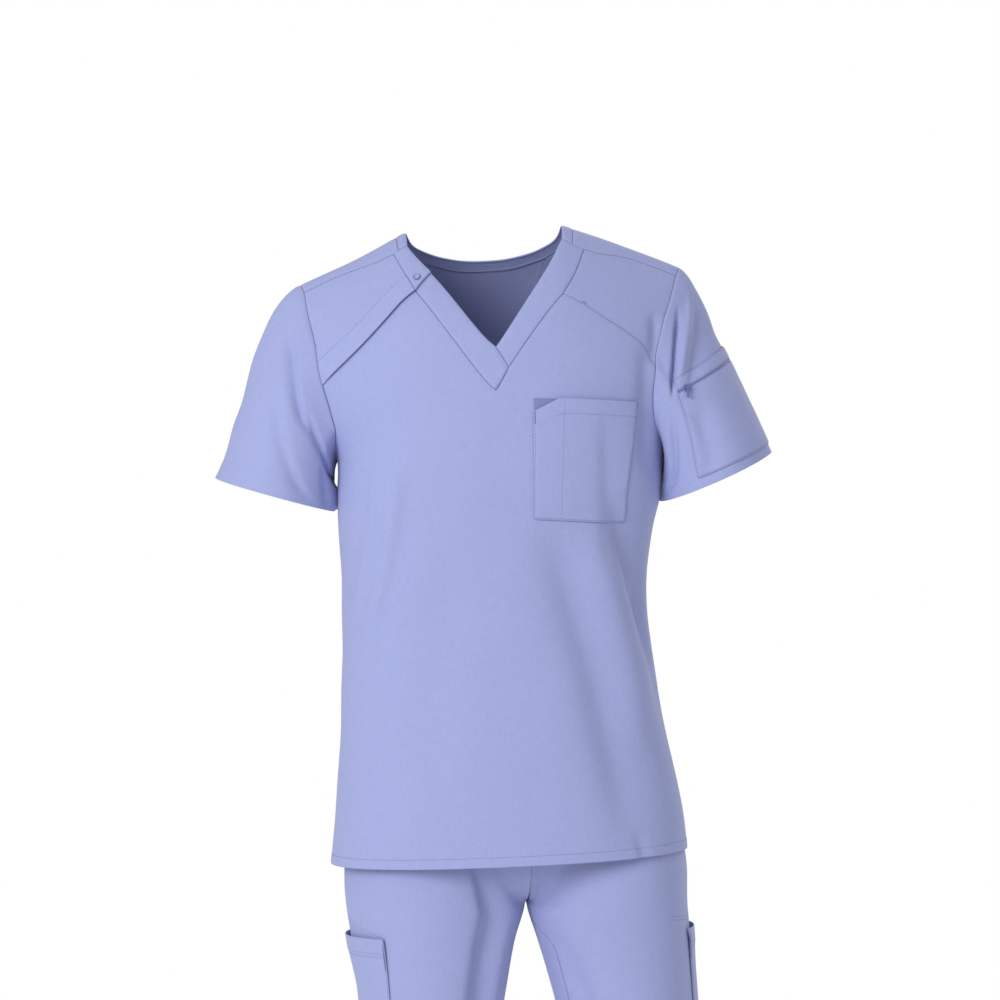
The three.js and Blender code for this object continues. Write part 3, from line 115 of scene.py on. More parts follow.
UNDERARM = {"right": -272, "left": -266}
SIDE_X = {"right": -172, "left": 208}
ARMHOLE_FRONT = {
    "right": ((-214, -67), (-208.5, -76.5), (-203.6, -99), (-195.5, -129), (-189.5, -154), (-183.5, -186),
              (-174.4, -220), (-170, -240)),
    "left": ((230, -46.6), (225, -57), (218, -82), (208.5, -112), (203, -140), (199.4, -166.7), (197, -205),
             (201, -232)),
}
ARMHOLE_BACK = {
    "right": ((-214, -67), (-205, -96), (-198, -130), (-191, -172), (-181, -220), (-175, -244)),
    "left": ((230, -46.6), (219, -78), (211, -114), (206, -158), (203, -208), (205, -236)),
}
SEAM_ROW = 1
YOKE_ROW = 5

SLEEVES = {
    "right": dict(outward=-1, centre=(-242, -2, -312.5), lean=15.5, half_width=69.5, half_depth=79, dip=1,
                  cap_top=(185, -90), cuff_top=(95, -190)),
    "left": dict(outward=1, centre=(271.5, -2, -290), lean=24, half_width=71, half_depth=80, dip=6,
                 cap_top=(85, -130), cuff_top=(71, -160)),
}
CAP_UNDER = (24, -42)
CAP_SPREAD = 0.16  # to the front and back of a sleeve's head, as a share of its slope
CUFF_UNDER = 50

CHEST_POCKET = dict(
    top_inner=(57.6, -202), top_outer=(178, -206), low_inner=(58.7, -340), low_outer=(160.5, -345),
)
PEN_SLOT_WIDTH = 29
PEN_SLOT_DROP = 16

SLEEVE_POCKET = dict(front_top=(219, -181), front_low=(245.5, -290), back=-14)
POCKET_LINES = dict(top=(128, 136), zip=(115, 121), low=(12, 10))
ZIP_WIDTH = 4

WAIST_TOP = -484
WAISTBAND_HEIGHT = 40
CROTCH = -785
CROTCH_X = 50
SIDE_TURNS_AT = -610
RISE_TURNS_AT = -690
TROUSER_HEM = -1550
HIP_POWER = 2.2
LEG_POWER = 2.1
SIDE_TURN = 17
CENTRE_TURN = 4.3
LEG_TURN = 10
INSEAM_TURN = {"right": -12, "left": 38}
INSEAM_SETTLES = 50
HIPS = table(
    "z right_side left_side front back",
    (-484, -130, 168, 102, 94), (-540, -144, 187, 108, 106), (-600, -153, 205, 112, 116),
    (-650, -159, 219, 113, 121), (-690, -161, 231.5, 112, 122), (-740, -162.5, 238.3, 110, 118),
    (-785, -160.5, 239.5, 104, 108),
)
LEGS = {
    "right": table(
        "z outer inner front back",
        (-690, -161, 50, 108, 118), (-740, -162.5, 50, 105, 112), (-785, -160.5, 50, 100, 104),
        (-833, -153, 37, 96, 98), (-902, -141.6, 25.5, 92, 94), (-1000, -136, 19, 87, 89),
        (-1120, -132, 13, 82, 84), (-1280, -130, 8, 79, 81), (-1420, -129, 5, 78, 79),
        (-1560, -129, 4, 77, 78),
    ),
    "left": table(
        "z outer inner front back",
        (-690, 231.5, 50, 108, 118), (-740, 238.3, 50, 105, 112), (-785, 239.5, 50, 100, 104),
        (-833, 243.5, 64, 96, 98), (-902, 248, 84, 92, 94), (-1000, 257, 105, 87, 89),
        (-1120, 269, 126, 82, 84), (-1280, 286, 148, 79, 81), (-1420, 302, 167, 78, 79),
        (-1560, 318, 185, 77, 78),
    ),
}
CARGO = {
    "right": dict(front_reach=2.1, back_reach=2.6, top_front=-820, top_back=-826),
    "left": dict(front_reach=1.6, back_reach=3.1, top_front=-813, top_back=-818),
}
CARGO_HEIGHT = 190
CARGO_COLUMNS = 8  # a leg panel's columns, in which the pockets' reach is counted

# How each edge of the pattern is divided
STEPS = dict(
    flap=6, band=6, yoke=6, band_top=5, arm_low=6, arm_top=5, arm_back=12, side=11, shoulder=6, across=2,
)
FINE = 8  # points on an edge for each of those steps

# Soft folds of the top: the line that each follows on the front (1) or back (-1), how far it bows sideways,
# its half width on either side, and its height
BODY_FOLDS = table(
    "face x0 z0 x1 z1 bow width other height",
    (1, 66, -320, 180, -740, -12, 24, 36, -11),
    (1, 112, -330, 190, -620, -8, 24, 18, 7),
    (1, 139, -200, 146, -420, 0, 9, 20, -3),
    (1, 142, -300, 234, -625, -2, 9, 22, -15),
    (1, 175, -690, 188, -752, 0, 3.5, 9, -3),
    (1, 190, -120, 188, -300, 3, 9, 9, -5),
    (1, 198, -96, 198, -168, 0, 6, 6, -5),
    (1, -94, -258, -138, -500, -8, 12, 9, 5),
    (1, -118, -268, -152, -470, -6, 9, 7, 4),
    (1, -126, -540, -110, -730, 4, 12, 20, -4),
    (1, -30, -330, -60, -700, 6, 30, 30, -3),
    (-1, -150, -240, -70, -470, 10, 15, 22, -10),
    (-1, -100, -420, -60, -730, 8, 16, 26, -9),
    (-1, 176, -240, 96, -450, -10, 22, 15, -10),
    (-1, 112, -430, 134, -735, -6, 26, 15, -10),
    (-1, 20, -340, 24, -700, 5, 26, 26, 5),
    (-1, -40, -120, -60, -300, 4, 14, 20, -6),
    (-1, 96, -130, 80, -280, -4, 20, 13, -6),
)
FOLDS_FADE_FROM = 0.8  # share of the way to the side seams
# For the sleeves and legs, a turn of one degree counts as so many millimetres
SLEEVE_TURN_MM = 1.3
SLEEVE_LENGTH = 210
SLEEVE_FOLDS = {
    "right": table(
        "turn0 down0 turn1 down1 width other height",
        (34, 0.1, 116, 0.4, 5, 14, -7), (96, 0.26, 182, 0.46, 5, 16, -7), (52, 0.36, 136, 1.0, 8, 14, -4),
        (138, 0.45, 152, 0.98, 6, 8, -4), (0, 0.6, 0, 1.2, 30, 30, 4), (-60, 0.15, -128, 0.9, 12, 12, -6),
        (180, 0.5, 180, 1.02, 40, 40, 6.8), (-180, 0.5, -180, 1.02, 40, 40, 6.8),
    ),
    "left": table(
        "turn0 down0 turn1 down1 width other height",
        (30, 0.08, 100, 0.3, 3.5, 5.5, -10), (6, 0.13, 88, 0.33, 5, 5, 4), (0, 0.2, 82, 0.42, 6, 18, -5),
        (102, 0.3, 152, 0.92, 8, 9, -6), (70, 0.42, 100, 1.0, 12, 16, -4), (-56, 0.12, -124, 0.9, 12, 12, -6),
        (0, -0.02, 0, 0.42, 34, 34, 4),
    ),
}
LEG_TURN_MM = 1.45
LEG_FOLDS = {
    "right": table(
        "turn0 z0 turn1 z1 width other height",
        (127, -680, 120, -1030, 5, 17, -13), (150, -740, 140, -1040, 11, 11, 6),
        (60, -900, 95, -1180, 16, 16, -5), (120, -1040, 60, -1180, 13, 13, -6),
        (80, -1380, 130, -1500, 14, 14, -6), (-70, -820, -120, -1040, 12, 18, -10),
        (-120, -1060, -60, -1180, 13, 13, -8),
    ),
    "left": table(
        "turn0 z0 turn1 z1 width other height",
        (132, -800, 110, -1060, 16, 16, -6), (116, -1040, 60, -1190, 13, 13, -6),
        (86, -1370, 128, -1500, 14, 14, -6), (-70, -820, -120, -1040, 12, 18, -10),
        (-120, -1060, -60, -1180, 13, 13, -8),
    ),
}


def hermite(start, stop, leaving, arriving, t):
    """A smooth way from start to stop that leaves and arrives at these slopes."""
    t2, t3 = t * t, t * t * t
    return (
        start * (2 * t3 - 3 * t2 + 1)
        + stop * (3 * t2 - 2 * t3)
        + leaving * (t3 - 2 * t2 + t)
        + arriving * (t3 - t2)
    )


def along(rows, key, column, at):
    """A smooth value of one column of a table whose rows rise, or fall, in the column key."""
    k, v = rows[key], rows[column]
    last = len(k) - 1
    way = np.sign(k[-1] - k[0])
    at = np.asarray(at, float)
    i = np.minimum(np.searchsorted(k[1:-1] * way, at * way, side="left"), last - 1)
    before, after = np.maximum(np.arange(last + 1) - 1, 0), np.minimum(np.arange(last + 1) + 1, last)
    slope = (v[after] - v[before]) / (k[after] - k[before])
    span = k[i + 1] - k[i]
    t = np.clip((at - k[i]) / span, 0, 1)
    return hermite(v[i], v[i + 1], slope[i] * span, slope[i + 1] * span, t)


def mix(a, b, t):
    return a + (b - a) * t


def ease(start, stop, value):
    t = np.clip((value - start) / (stop - start), 0, 1)
    return t * t * (3 - 2 * t)


def signed_power(value, power):
    return np.sign(value) * np.abs(value) ** power


def unit(vectors):
    return vectors / np.maximum(np.linalg.norm(vectors, axis=-1, keepdims=True), 1e-12)


def fold_height(fold, start, stop, a, b):
    """The height of one soft fold over a flat map: a bell across its line, fading at both ends."""
    da, db = stop[0] - start[0], stop[1] - start[1]
    length = math.hypot(da, db)
    t = ((a - start[0]) * da + (b - start[1]) * db) / length**2
    across = ((a - start[0]) * db - (b - start[1]) * da) / length - fold.get("bow", 0) * 4 * t * (1 - t)
    width = np.where(across > 0, fold["width"], fold["other"])
    fade = ease(0, 0.3, t) * ease(0, 0.3, 1 - t)
    return fold["height"] * fade * np.exp(-((across / width) ** 2))


def folds_at(folds, names, scales, a, b, face=None):
    """The height of a table's folds at places on a flat map, which these two columns and scales lie on."""
    height = np.zeros(a.shape)
    for values in zip(*folds.values()):
        fold = dict(zip(folds, values))
        start, stop = ([fold[name + end] * scale for name, scale in zip(names, scales)] for end in "01")
        bell = fold_height(fold, start, stop, a * scales[0], b * scales[1])
        height += bell if face is None else np.where(face == fold["face"], bell, 0)
    return height


def ripple(points, size, shift=0.0):
    """Soft, uneven waves through space, between -1 and 1, for cloth that never lies quite smooth."""
    flat = points.reshape(-1, 3) / size + shift
    return np.array([noise.noise(p) for p in flat.tolist()]).reshape(points.shape[:-1])


def worn_waves(points, size, shift=0.0):
    """The height of the faint waves of worn cloth."""
    return bpy.context.scene.scrubs_cloth.ripple_height / MM * ripple(points, size, shift)


def runs_of(points):
    """How far along a line each of its points lies."""
    return np.concatenate([[0], np.cumsum(np.linalg.norm(np.diff(points, axis=0), axis=1))])


def turned_round(points, normals):
    return points[:, ::-1], normals[:, ::-1]


def sampled_at(at, runs, vectors):
    return np.stack([np.interp(at, runs, vectors[:, k]) for k in range(3)], -1)


# The top's form. A place on it is (s, w): s runs from -1 at the wearer's right side to 1 at the left, and
# w from 0 at the shoulder ridge, to 1 where the shoulder has rounded over, and on down. w is negative behind.
def drop_of(w):
    return np.where(
        w < 1,
        SHOULDER_ROUND * (1 - np.cos(np.minimum(w, 1) * math.pi / 2)),
        SHOULDER_ROUND * (1 + (w - 1) * math.pi / 2),
    )


def place_of_drop(drop):
    drop = np.asarray(drop, float)
    return np.where(
        drop < SHOULDER_ROUND,
        np.arccos(1 - np.minimum(drop, SHOULDER_ROUND) / SHOULDER_ROUND) * 2 / math.pi,
        1 + (drop / SHOULDER_ROUND - 1) * 2 / math.pi,
    )


def ridge_at(x):
    return along(RIDGE, "x", "z", x)


def ridge_share(drop):
    return 1 - ease(RIDGE_LEVELS_FROM, RIDGE_LEVELS_AT, drop)


def form_point(s, w):
    drop = drop_of(np.abs(w))
    depth = np.where(w < 0, along(BODY, "drop", "back", drop), along(BODY, "drop", "front", drop))
    across = signed_power(np.sin(s * math.pi / 2), 2 / SECTION_POWER)
    deep = np.abs(np.cos(s * math.pi / 2)) ** (2 / SECTION_POWER)
    x = along(BODY, "drop", "middle", drop) + along(BODY, "drop", "half", drop) * across
    rounded = np.sin(np.minimum(np.abs(w), 1) * math.pi / 2)
    return np.stack([x, -np.sign(w) * depth * deep * rounded, ridge_at(x) * ridge_share(drop) - drop], -1)


def form_normal(s, w):
    tiny = 1e-3
    s = np.clip(s, -1 + 2 * tiny, 1 - 2 * tiny)
    acrossward = form_point(s + tiny, w) - form_point(s - tiny, w)
    downward = form_point(s, w + tiny) - form_point(s, w - tiny)
    return unit(np.cross(downward, acrossward))


def place_at(x, z, face=1):
    """The places whose points have this x and z, on the front (face 1) or the back (face -1)."""
    x, z = np.broadcast_arrays(np.asarray(x, float), np.asarray(z, float))
    low, high = np.zeros(x.shape), np.full(x.shape, BODY["drop"][-1])
    for _ in range(40):
        drop = (low + high) / 2
        above = ridge_at(x) * ridge_share(drop) - drop > z
        low, high = np.where(above, drop, low), np.where(above, high, drop)
    across = (x - along(BODY, "drop", "middle", low)) / along(BODY, "drop", "half", low)
    s = np.arcsin(np.clip(signed_power(across, SECTION_POWER / 2), -1, 1)) * 2 / math.pi
    return np.stack([s, face * place_of_drop(low)], -1)


def places_at(points, face=1):
    x, z = np.array(points, float).T
    return place_at(x, z, face)


def back_places(points):
    x, drop = np.array(points, float).T
    return place_at(x, ridge_at(x) - drop, -1)


def side_places(side, z, face=1):
    w = np.abs(place_at(SIDE_X[side], z)[..., 1])
    s = np.full(w.shape, -1.0 if side == "right" else 1.0)
    return np.stack([s, face * w], -1)


def line_through(places):
    """A smooth line through places, as a table measured by its length on the form."""
    points = form_point(places[:, 0], places[:, 1])
    return {"run": runs_of(points), "s": places[:, 0].copy(), "w": places[:, 1].copy()}


def on_line(line, run):
    return np.stack([along(line, "run", "s", run), along(line, "run", "w", run)], -1)


def between(line, start, stop, steps):
    return on_line(line, np.linspace(start, stop, steps * FINE + 1))


def divide(places, steps):
    line = line_through(np.asarray(places, float))
    return between(line, 0, line["run"][-1], steps)


def straight(a, b, steps=1):
    return mix(np.asarray(a)[None], np.asarray(b)[None], np.linspace(0, 1, steps * FINE + 1)[:, None])


def joined(*edges):
    return np.concatenate([edge[1:] if i else edge for i, edge in enumerate(edges)])


def spaced(per_step, start=(), stop=()):
    """Fractions along an edge: so many to each of its steps, and the extra ones near its start and stop."""
    steps = len(per_step)
    inside = [i + j / n for i, n in enumerate(per_step) for j in range(n)]
    extra = [*start, *[steps - e for e in stop]]
    kept = [t for t in inside if t == 0 or all(abs(t - e) > 0.25 / per_step[int(t)] for e in extra)]
    return np.array(sorted([*kept, *extra, steps])) / steps


def sampled(edge, t):
    at = t * (len(edge) - 1)
    index = np.arange(len(edge))
    return np.stack([np.interp(at, index, edge[:, k]) for k in (0, 1)], -1)


def fill(bottom, top, left, right, across, up):
    """Places between four edges that share their corners, at fractions across and up. Rows run upwards."""
    u, v = across[None, :, None], up[:, None, None]
    corners = mix(mix(bottom[0], bottom[-1], u), mix(top[0], top[-1], u), v)
    return (
        mix(sampled(bottom, across)[None], sampled(top, across)[None], v)
        + mix(sampled(left, up)[:, None], sampled(right, up)[:, None], u)
        - corners
    )


def top_cloth(places, out=0.0):
    """Points of the top's cloth at these places, with its soft folds, and the form's normals there."""
    s, w = places[..., 0], places[..., 1]
    p, n = form_point(s, w), form_normal(s, w)
    height = folds_at(BODY_FOLDS, "xz", (1, 1), p[..., 0], p[..., 2], np.sign(w))
    height *= 1 - ease(FOLDS_FADE_FROM, 1, np.abs(s))
    drop = drop_of(np.abs(w))
    height += worn_waves(p, 62) * (0.35 + 0.65 * ease(60, 260, drop))
    return p + n * (height + out)[..., None], n


# Edges of the top's panels
def armhole_lines(side):
    lines = {}
    for name, points, face in (("front", ARMHOLE_FRONT[side], 1), ("back", ARMHOLE_BACK[side], -1)):
        underarm = side_places(side, [UNDERARM[side]], face)
        lines[name] = line_through(np.concatenate([places_at(points, face), underarm]))
        lines[name]["w"][0] = 0
    return lines


ARMHOLES = {side: armhole_lines(side) for side in SIDES}


def armhole_back_edge(side):
    front, back = ARMHOLES[side]["front"], ARMHOLES[side]["back"]
    seam = between(front, front["run"][SEAM_ROW], 0, 1)
    return joined(seam, between(back, 0, back["run"][-1], STEPS["arm_back"]))


def armhole_top_edge(side):
    front = ARMHOLES[side]["front"]
    return between(front, front["run"][YOKE_ROW], front["run"][SEAM_ROW], STEPS["arm_top"])


def armhole_low_edge(side):
    front = ARMHOLES[side]["front"]
    steps = STEPS["arm_low"] + (side == "left")
    return between(front, front["run"][-1], front["run"][YOKE_ROW], steps)


def hem_z(x):
    return -HEM_MIDDLE_DROP + HEM_TILT * x


def side_seam(side, face):
    low, high = hem_z(HEM_CORNER_X[side]), UNDERARM[side]
    return side_places(side, np.linspace(low, high, STEPS["side"] * FINE + 1), face)


def hem_edge(face, steps):
    s = np.linspace(-1, 1, steps * FINE + 1)
    x = form_point(s, place_of_drop(HEM_MIDDLE_DROP))[:, 0]
    return np.stack([s, face * place_of_drop(-hem_z(x))], -1)


def end_at(edge, place):
    return np.concatenate([edge[:-1], place[None]])


def through(points):
    """An edge that bends at each of these points."""
    return joined(*(divide(places_at([a, b]), 1) for a, b in zip(points, points[1:])))


FLAP_EDGE = end_at(divide(places_at(FLAP_SEAM), STEPS["flap"]), armhole_top_edge("right")[0])
YOKE_EDGE = end_at(divide(places_at(YOKE_SEAM), STEPS["yoke"]), armhole_top_edge("left")[0])
BAND_LOW_RIGHT = divide(places_at([FLAP_NECK, V_TIP]), STEPS["band"])
BAND_TIP = divide(places_at([V_TIP, BAND_CROSSING]), STEPS["across"])
BAND_LEFT = divide(places_at(BAND_OUTER_LEFT), STEPS["band"])
BAND_TOP_RIGHT = divide(places_at([FLAP_NECK, (-90, -57), (-103.4, -33.5)]), STEPS["band_top"])
BAND_TOP_LEFT = divide(places_at(BAND_OUTER_LEFT_TOP), STEPS["band_top"])
SHOULDER_EDGE = {
    side: end_at(divide(places_at(SHOULDER_SEAM[side]), STEPS["shoulder"]), armhole_back_edge(side)[0])
    for side in SIDES
}
BAND_END_EDGE = {side: through(BAND_END[side]) for side in SIDES}
UNDERLAP_SIDE = armhole_top_edge("right")[FINE]
UNDERLAP_NECK = BAND_TOP_RIGHT[FINE]


def distance_to(points, line):
    """How far points are from a line through other points, and how far along it the nearest place lies."""
    flat, runs = points.reshape(-1, 3), runs_of(line)
    squares = (flat**2).sum(1)[:, None] + (line**2).sum(1)[None] - 2 * flat @ line.T
    nearest = squares.argmin(1)
    best, run = np.full(len(flat), np.inf), np.zeros(len(flat))
    for first in (np.maximum(nearest - 1, 0), np.minimum(nearest, len(line) - 2)):
        a, b = line[first], line[first + 1]
        span = np.maximum(((b - a) ** 2).sum(1), 1e-9)
        t = np.clip(((flat - a) * (b - a)).sum(1) / span, 0, 1)
        away = np.linalg.norm(flat - a - (b - a) * t[:, None], axis=1)
        closer = away < best
        best, run = np.where(closer, away, best), np.where(closer, runs[first] + t * np.sqrt(span), run)
    return best.reshape(points.shape[:-1]), run.reshape(points.shape[:-1])


SEAM_DIP = 0.5  # cloth is drawn in along a seam, and rolls out again over this width
SEAM_ROLL = 1.1
TURNED_RISE = 0.5  # a turned hem stands this much proud, down to its stitching
STITCHED_DIP = 0.3  # and is drawn in along it
STITCHED_ROLL = 0.9
TUCKED_DEPTH = 0.9  # the edge of a patch comes down to the cloth beneath it
TUCKED_WIDTH = 3.5
PUCKER = 0.22
PUCKER_WAVE = 7
FAR = 99.0


class Panel:
    """One piece of cloth as a grid of points, rows upwards and columns to the right as seen from outside."""

    def __init__(self, points, normals, seams=(), hems=None, tucked=(), dip=SEAM_DIP):
        edges = {"bottom": points[0], "top": points[-1], "left": points[:, 0], "right": points[:, -1]}
        self.away = {}
        lift = np.zeros(points.shape[:2])
        for edge in sorted({*seams, *(hems or {})}):
            self.away[edge], run = distance_to(points, edges[edge])
            waves = np.stack([run / PUCKER_WAVE, run * 0, self.away[edge] / 9], -1)
            pucker = PUCKER * ripple(waves, 1.0, len(edge))
            lift += pucker * np.exp(-self.away[edge] / PUCKER_WAVE) * (1 - np.exp(-self.away[edge] / 1.2))
            if edge in seams:
                lift -= dip * np.exp(-((self.away[edge] / SEAM_ROLL) ** 2))
        for edge, depth in (hems or {}).items():
            d = self.away[edge]
            turned = TURNED_RISE * (1 - ease(depth - 0.7, depth + 1.0, d))
            lift += turned - STITCHED_DIP * np.exp(-(((d - depth) / STITCHED_ROLL) ** 2))
        for edge in tucked:
            d, _ = distance_to(points, edges[edge])
            lift -= TUCKED_DEPTH * (1 - ease(0, TUCKED_WIDTH, d))
        self.points = points + normals * lift[..., None]
        far = np.full(points.shape[:2], FAR)
        self.from_seam = np.minimum.reduce([far, *[self.away[e] for e in seams]])
        self.from_hem = np.minimum.reduce([far, *[self.away[e] for e in (hems or {})]])

    def surface_normals(self):
        p = self.points
        up, right = np.gradient(p, axis=0), np.gradient(p, axis=1)
        return unit(np.cross(right, up))

    def line(self, edge, at, part=(0, 1)):
        """The line on the cloth at one distance from an edge, as points and normals."""
        turn = {
            "bottom": lambda a: a,
            "top": lambda a: a[::-1],
            "left": lambda a: a.swapaxes(0, 1),
            "right": lambda a: a[:, ::-1].swapaxes(0, 1),
        }[edge]
        p, n, d = turn(self.points), turn(self.surface_normals()), turn(self.away[edge])
        first, last = (int(round(share * (p.shape[1] - 1))) for share in part)
        points, normals = [], []
        for i in range(first, last + 1):
            k = int(np.argmax(d[:, i] >= at))
            if k == 0:
                continue
            t = (at - d[k - 1, i]) / max(d[k, i] - d[k - 1, i], 1e-9)
            points.append(mix(p[k - 1, i], p[k, i], t))
            normals.append(mix(n[k - 1, i], n[k, i], t))
        return np.array(points), unit(np.array(normals))


# Sleeves: turn 0 is the top, 90 the front, 180 the underarm and -90 the back
def armhole_at(side, turn):
    front, back = ARMHOLES[side]["front"], ARMHOLES[side]["back"]
    share = np.abs(turn) / 180
    behind = on_line(back, share * back["run"][-1])
    before = on_line(front, share * front["run"][-1])
    return np.where((turn < 0)[..., None], behind, before)


def smooth_sleeve(side, turn, down):
    sleeve = SLEEVES[side]
    turn, down = np.broadcast_arrays(np.asarray(turn, float), np.asarray(down, float))
    angle = np.radians(turn)
    c, s = np.cos(angle), np.sin(angle)
    under = (1 - c) / 2
    start, normal = top_cloth(armhole_at(side, turn))
    start = start - SEAM_DIP * normal
    lean = math.radians(sleeve["lean"])
    centre, outward = sleeve["centre"], sleeve["outward"]
    end = np.stack([
        centre[0] + outward * sleeve["half_width"] * c * math.cos(lean),
        centre[1] - sleeve["half_depth"] * s,
        centre[2] + sleeve["half_width"] * c * math.sin(lean) - sleeve["dip"] * s,
    ], -1)

    def towards(top, low):
        across, up = (mix(a, b, under) for a, b in zip(top, low))
        return np.stack([outward * across, np.zeros_like(under), up], -1)

    away = towards(sleeve["cap_top"], CAP_UNDER)
    away[..., 1] = -CAP_SPREAD * s * np.linalg.norm(away, axis=-1)
    into = towards(sleeve["cuff_top"], (math.sin(lean) * CUFF_UNDER, -math.cos(lean) * CUFF_UNDER))
    return hermite(start, end, away, into, down[..., None])


CAP_ROLL = 1.4  # the sleeve's head stands up a little beside its seam
CAP_ROLL_REACH = 25


def sleeve_cloth(side, turn, down, out=0.0):
    turn, down = np.broadcast_arrays(np.asarray(turn, float), np.asarray(down, float))
    p = smooth_sleeve(side, turn, down)
    middle = np.clip(down, 0.005, 0.995)
    round_it = smooth_sleeve(side, turn + 0.5, middle) - smooth_sleeve(side, turn - 0.5, middle)
    cuffward = smooth_sleeve(side, turn, middle + 0.005) - smooth_sleeve(side, turn, middle - 0.005)
    n = unit(np.cross(round_it, cuffward)) * SLEEVES[side]["outward"]
    height = folds_at(SLEEVE_FOLDS[side], ("turn", "down"), (SLEEVE_TURN_MM, SLEEVE_LENGTH), turn, down)
    height += worn_waves(p, 45, 3.0) * ease(0, 0.2, down)
    from_cap = down * SLEEVE_LENGTH
    height += CAP_ROLL * (1 - np.exp(-((from_cap / 3) ** 2))) * np.exp(-from_cap / CAP_ROLL_REACH)
    return p + n * (height + out)[..., None], n


# Trousers: a place is a share of the way from a leg's side seam to its centre seam, and a height
def hip_point(turn, z):
    right, left = along(HIPS, "z", "right_side", z), along(HIPS, "z", "left_side", z)
    c, s = np.cos(np.radians(turn)), np.sin(np.radians(turn))
    depth = np.where(s < 0, along(HIPS, "z", "front", z), along(HIPS, "z", "back", z))
    x = (right + left) / 2 + (left - right) / 2 * signed_power(c, 2 / HIP_POWER)
    return np.stack([x, depth * signed_power(s, 2 / HIP_POWER), z + 0 * x], -1)


def leg_point(leg, turn, z):
    rows = LEGS[leg]
    outer, free = along(rows, "z", "outer", z), along(rows, "z", "inner", z)
    inner = np.minimum(free, CROTCH_X) if leg == "right" else np.maximum(free, CROTCH_X)
    c, s = np.cos(np.radians(turn)), np.sin(np.radians(turn))
    depth = np.where(s > 0, along(rows, "z", "front", z), along(rows, "z", "back", z))
    x = (outer + inner) / 2 + (outer - inner) / 2 * signed_power(c, 2 / LEG_POWER)
    return np.stack([x, -depth * signed_power(s, 2 / LEG_POWER), z + 0 * x], -1)


def leg_share(from_side, z):
    turn = np.clip((RISE_TURNS_AT - z) / (RISE_TURNS_AT - CROTCH), 0, 1)
    return mix(ease(-SIDE_TURNS_AT, -CROTCH, -z), 1 - np.sqrt(1 - turn**2), np.clip(from_side, 0, 1) ** 4)


def smooth_trouser(leg, face, across, z):
    hip_side = 180 + SIDE_TURN if leg == "right" else 360 + SIDE_TURN
    hip_centre = CENTRE_TURN + (270 if face > 0 else 90 if leg == "right" else 450)
    leg_side = LEG_TURN if leg == "right" else -LEG_TURN
    inseam = 180 - INSEAM_TURN[leg] * ease(0, INSEAM_SETTLES, CROTCH - z)
    leg_inner = inseam if face > 0 else inseam - 360
    share = leg_share(across, z)[..., None]
    turn = mix(leg_side, leg_inner, across)
    return mix(hip_point(mix(hip_side, hip_centre, across), z), leg_point(leg, turn, z), share), turn


def trouser_cloth(leg, face, across, z, out=0.0):
    across, z = np.broadcast_arrays(np.asarray(across, float), np.asarray(z, float))
    p, turn = smooth_trouser(leg, face, across, z)
    step = smooth_trouser(leg, face, across + 0.01, z)[0] - smooth_trouser(leg, face, across - 0.01, z)[0]
    towards = 1 if (leg == "right") == (face > 0) else -1
    n = unit(np.cross(step * towards, np.array([0.0, 0.0, 1.0])))
    turn = (turn + 540) % 360 - 180
    height = folds_at(LEG_FOLDS[leg], ("turn", "z"), (LEG_TURN_MM, 1), turn, z)
    height *= leg_share(across, z)  # the folds fade where a column is still on the hips
    height += worn_waves(p, 55, 7.0)
    return p + n * (height + out)[..., None], n


# Meshes
SAME_PLACE = 2e-5  # points of one piece that are closer than this, in metres, become one


def weave_places(points):
    """Places on the flat cloth in metres: across from the middle column and up from the bottom row."""
    right = np.linalg.norm(np.diff(points, axis=1), axis=2)
    across = np.concatenate([np.zeros((len(points), 1)), np.cumsum(right, 1)], 1)
    across -= across[:, [across.shape[1] // 2]]
    rise = np.linalg.norm(np.diff(points, axis=0), axis=2)
    up = np.concatenate([np.zeros((1, points.shape[1])), np.cumsum(rise, 0)], 0)
    return np.stack([across, up], -1) * MM


def linked(name, data):
    made = bpy.data.objects.new(name, data)
    bpy.context.scene.collection.objects.link(made)
    return made


def cloth_piece(name, panels, material, thickness=None):
    """A shell of cloth from one panel, or from several that share their edges."""
    verts, faces, uvs, seam, hem = [], [], [], [], []
    count = 0
    for panel in panels:
        rows, columns = panel.points.shape[:2]
        index = count + np.arange(rows * columns).reshape(rows, columns)
        quads = np.stack([index[:-1, :-1], index[:-1, 1:], index[1:, 1:], index[1:, :-1]], -1)
        verts.append(panel.points.reshape(-1, 3) * MM)
        faces.append(quads.reshape(-1, 4))
        uvs.append(weave_places(panel.points).reshape(-1, 2))
        seam.append(panel.from_seam.ravel())
        hem.append(panel.from_hem.ravel())
        count += rows * columns
    verts, faces, uvs = np.concatenate(verts), np.concatenate(faces), np.concatenate(uvs)
    mesh = bpy.data.meshes.new(name)
    mesh.from_pydata(verts.tolist(), [], faces.tolist())
    layer = mesh.uv_layers.new(name="weave")
    layer.data.foreach_set("uv", uvs[faces.ravel()].astype(np.float32).ravel())
    for field, values in (("from_seam", seam), ("from_hem", hem)):
        attribute = mesh.attributes.new(field, "FLOAT", "POINT")
        attribute.data.foreach_set("value", np.concatenate(values).astype(np.float32))
    work = bmesh.new()
    work.from_mesh(mesh)
    bmesh.ops.remove_doubles(work, verts=work.verts, dist=SAME_PLACE)
    work.to_mesh(mesh)
    work.free()
    mesh.shade_smooth()
    mesh.materials.append(material)
    piece = linked(name, mesh)
    wall = piece.modifiers.new("wall", "SOLIDIFY")
    wall.thickness = thickness or bpy.context.scene.scrubs_cloth.thickness
    wall.offset = -1
    wall.use_quality_normals = True
    return piece


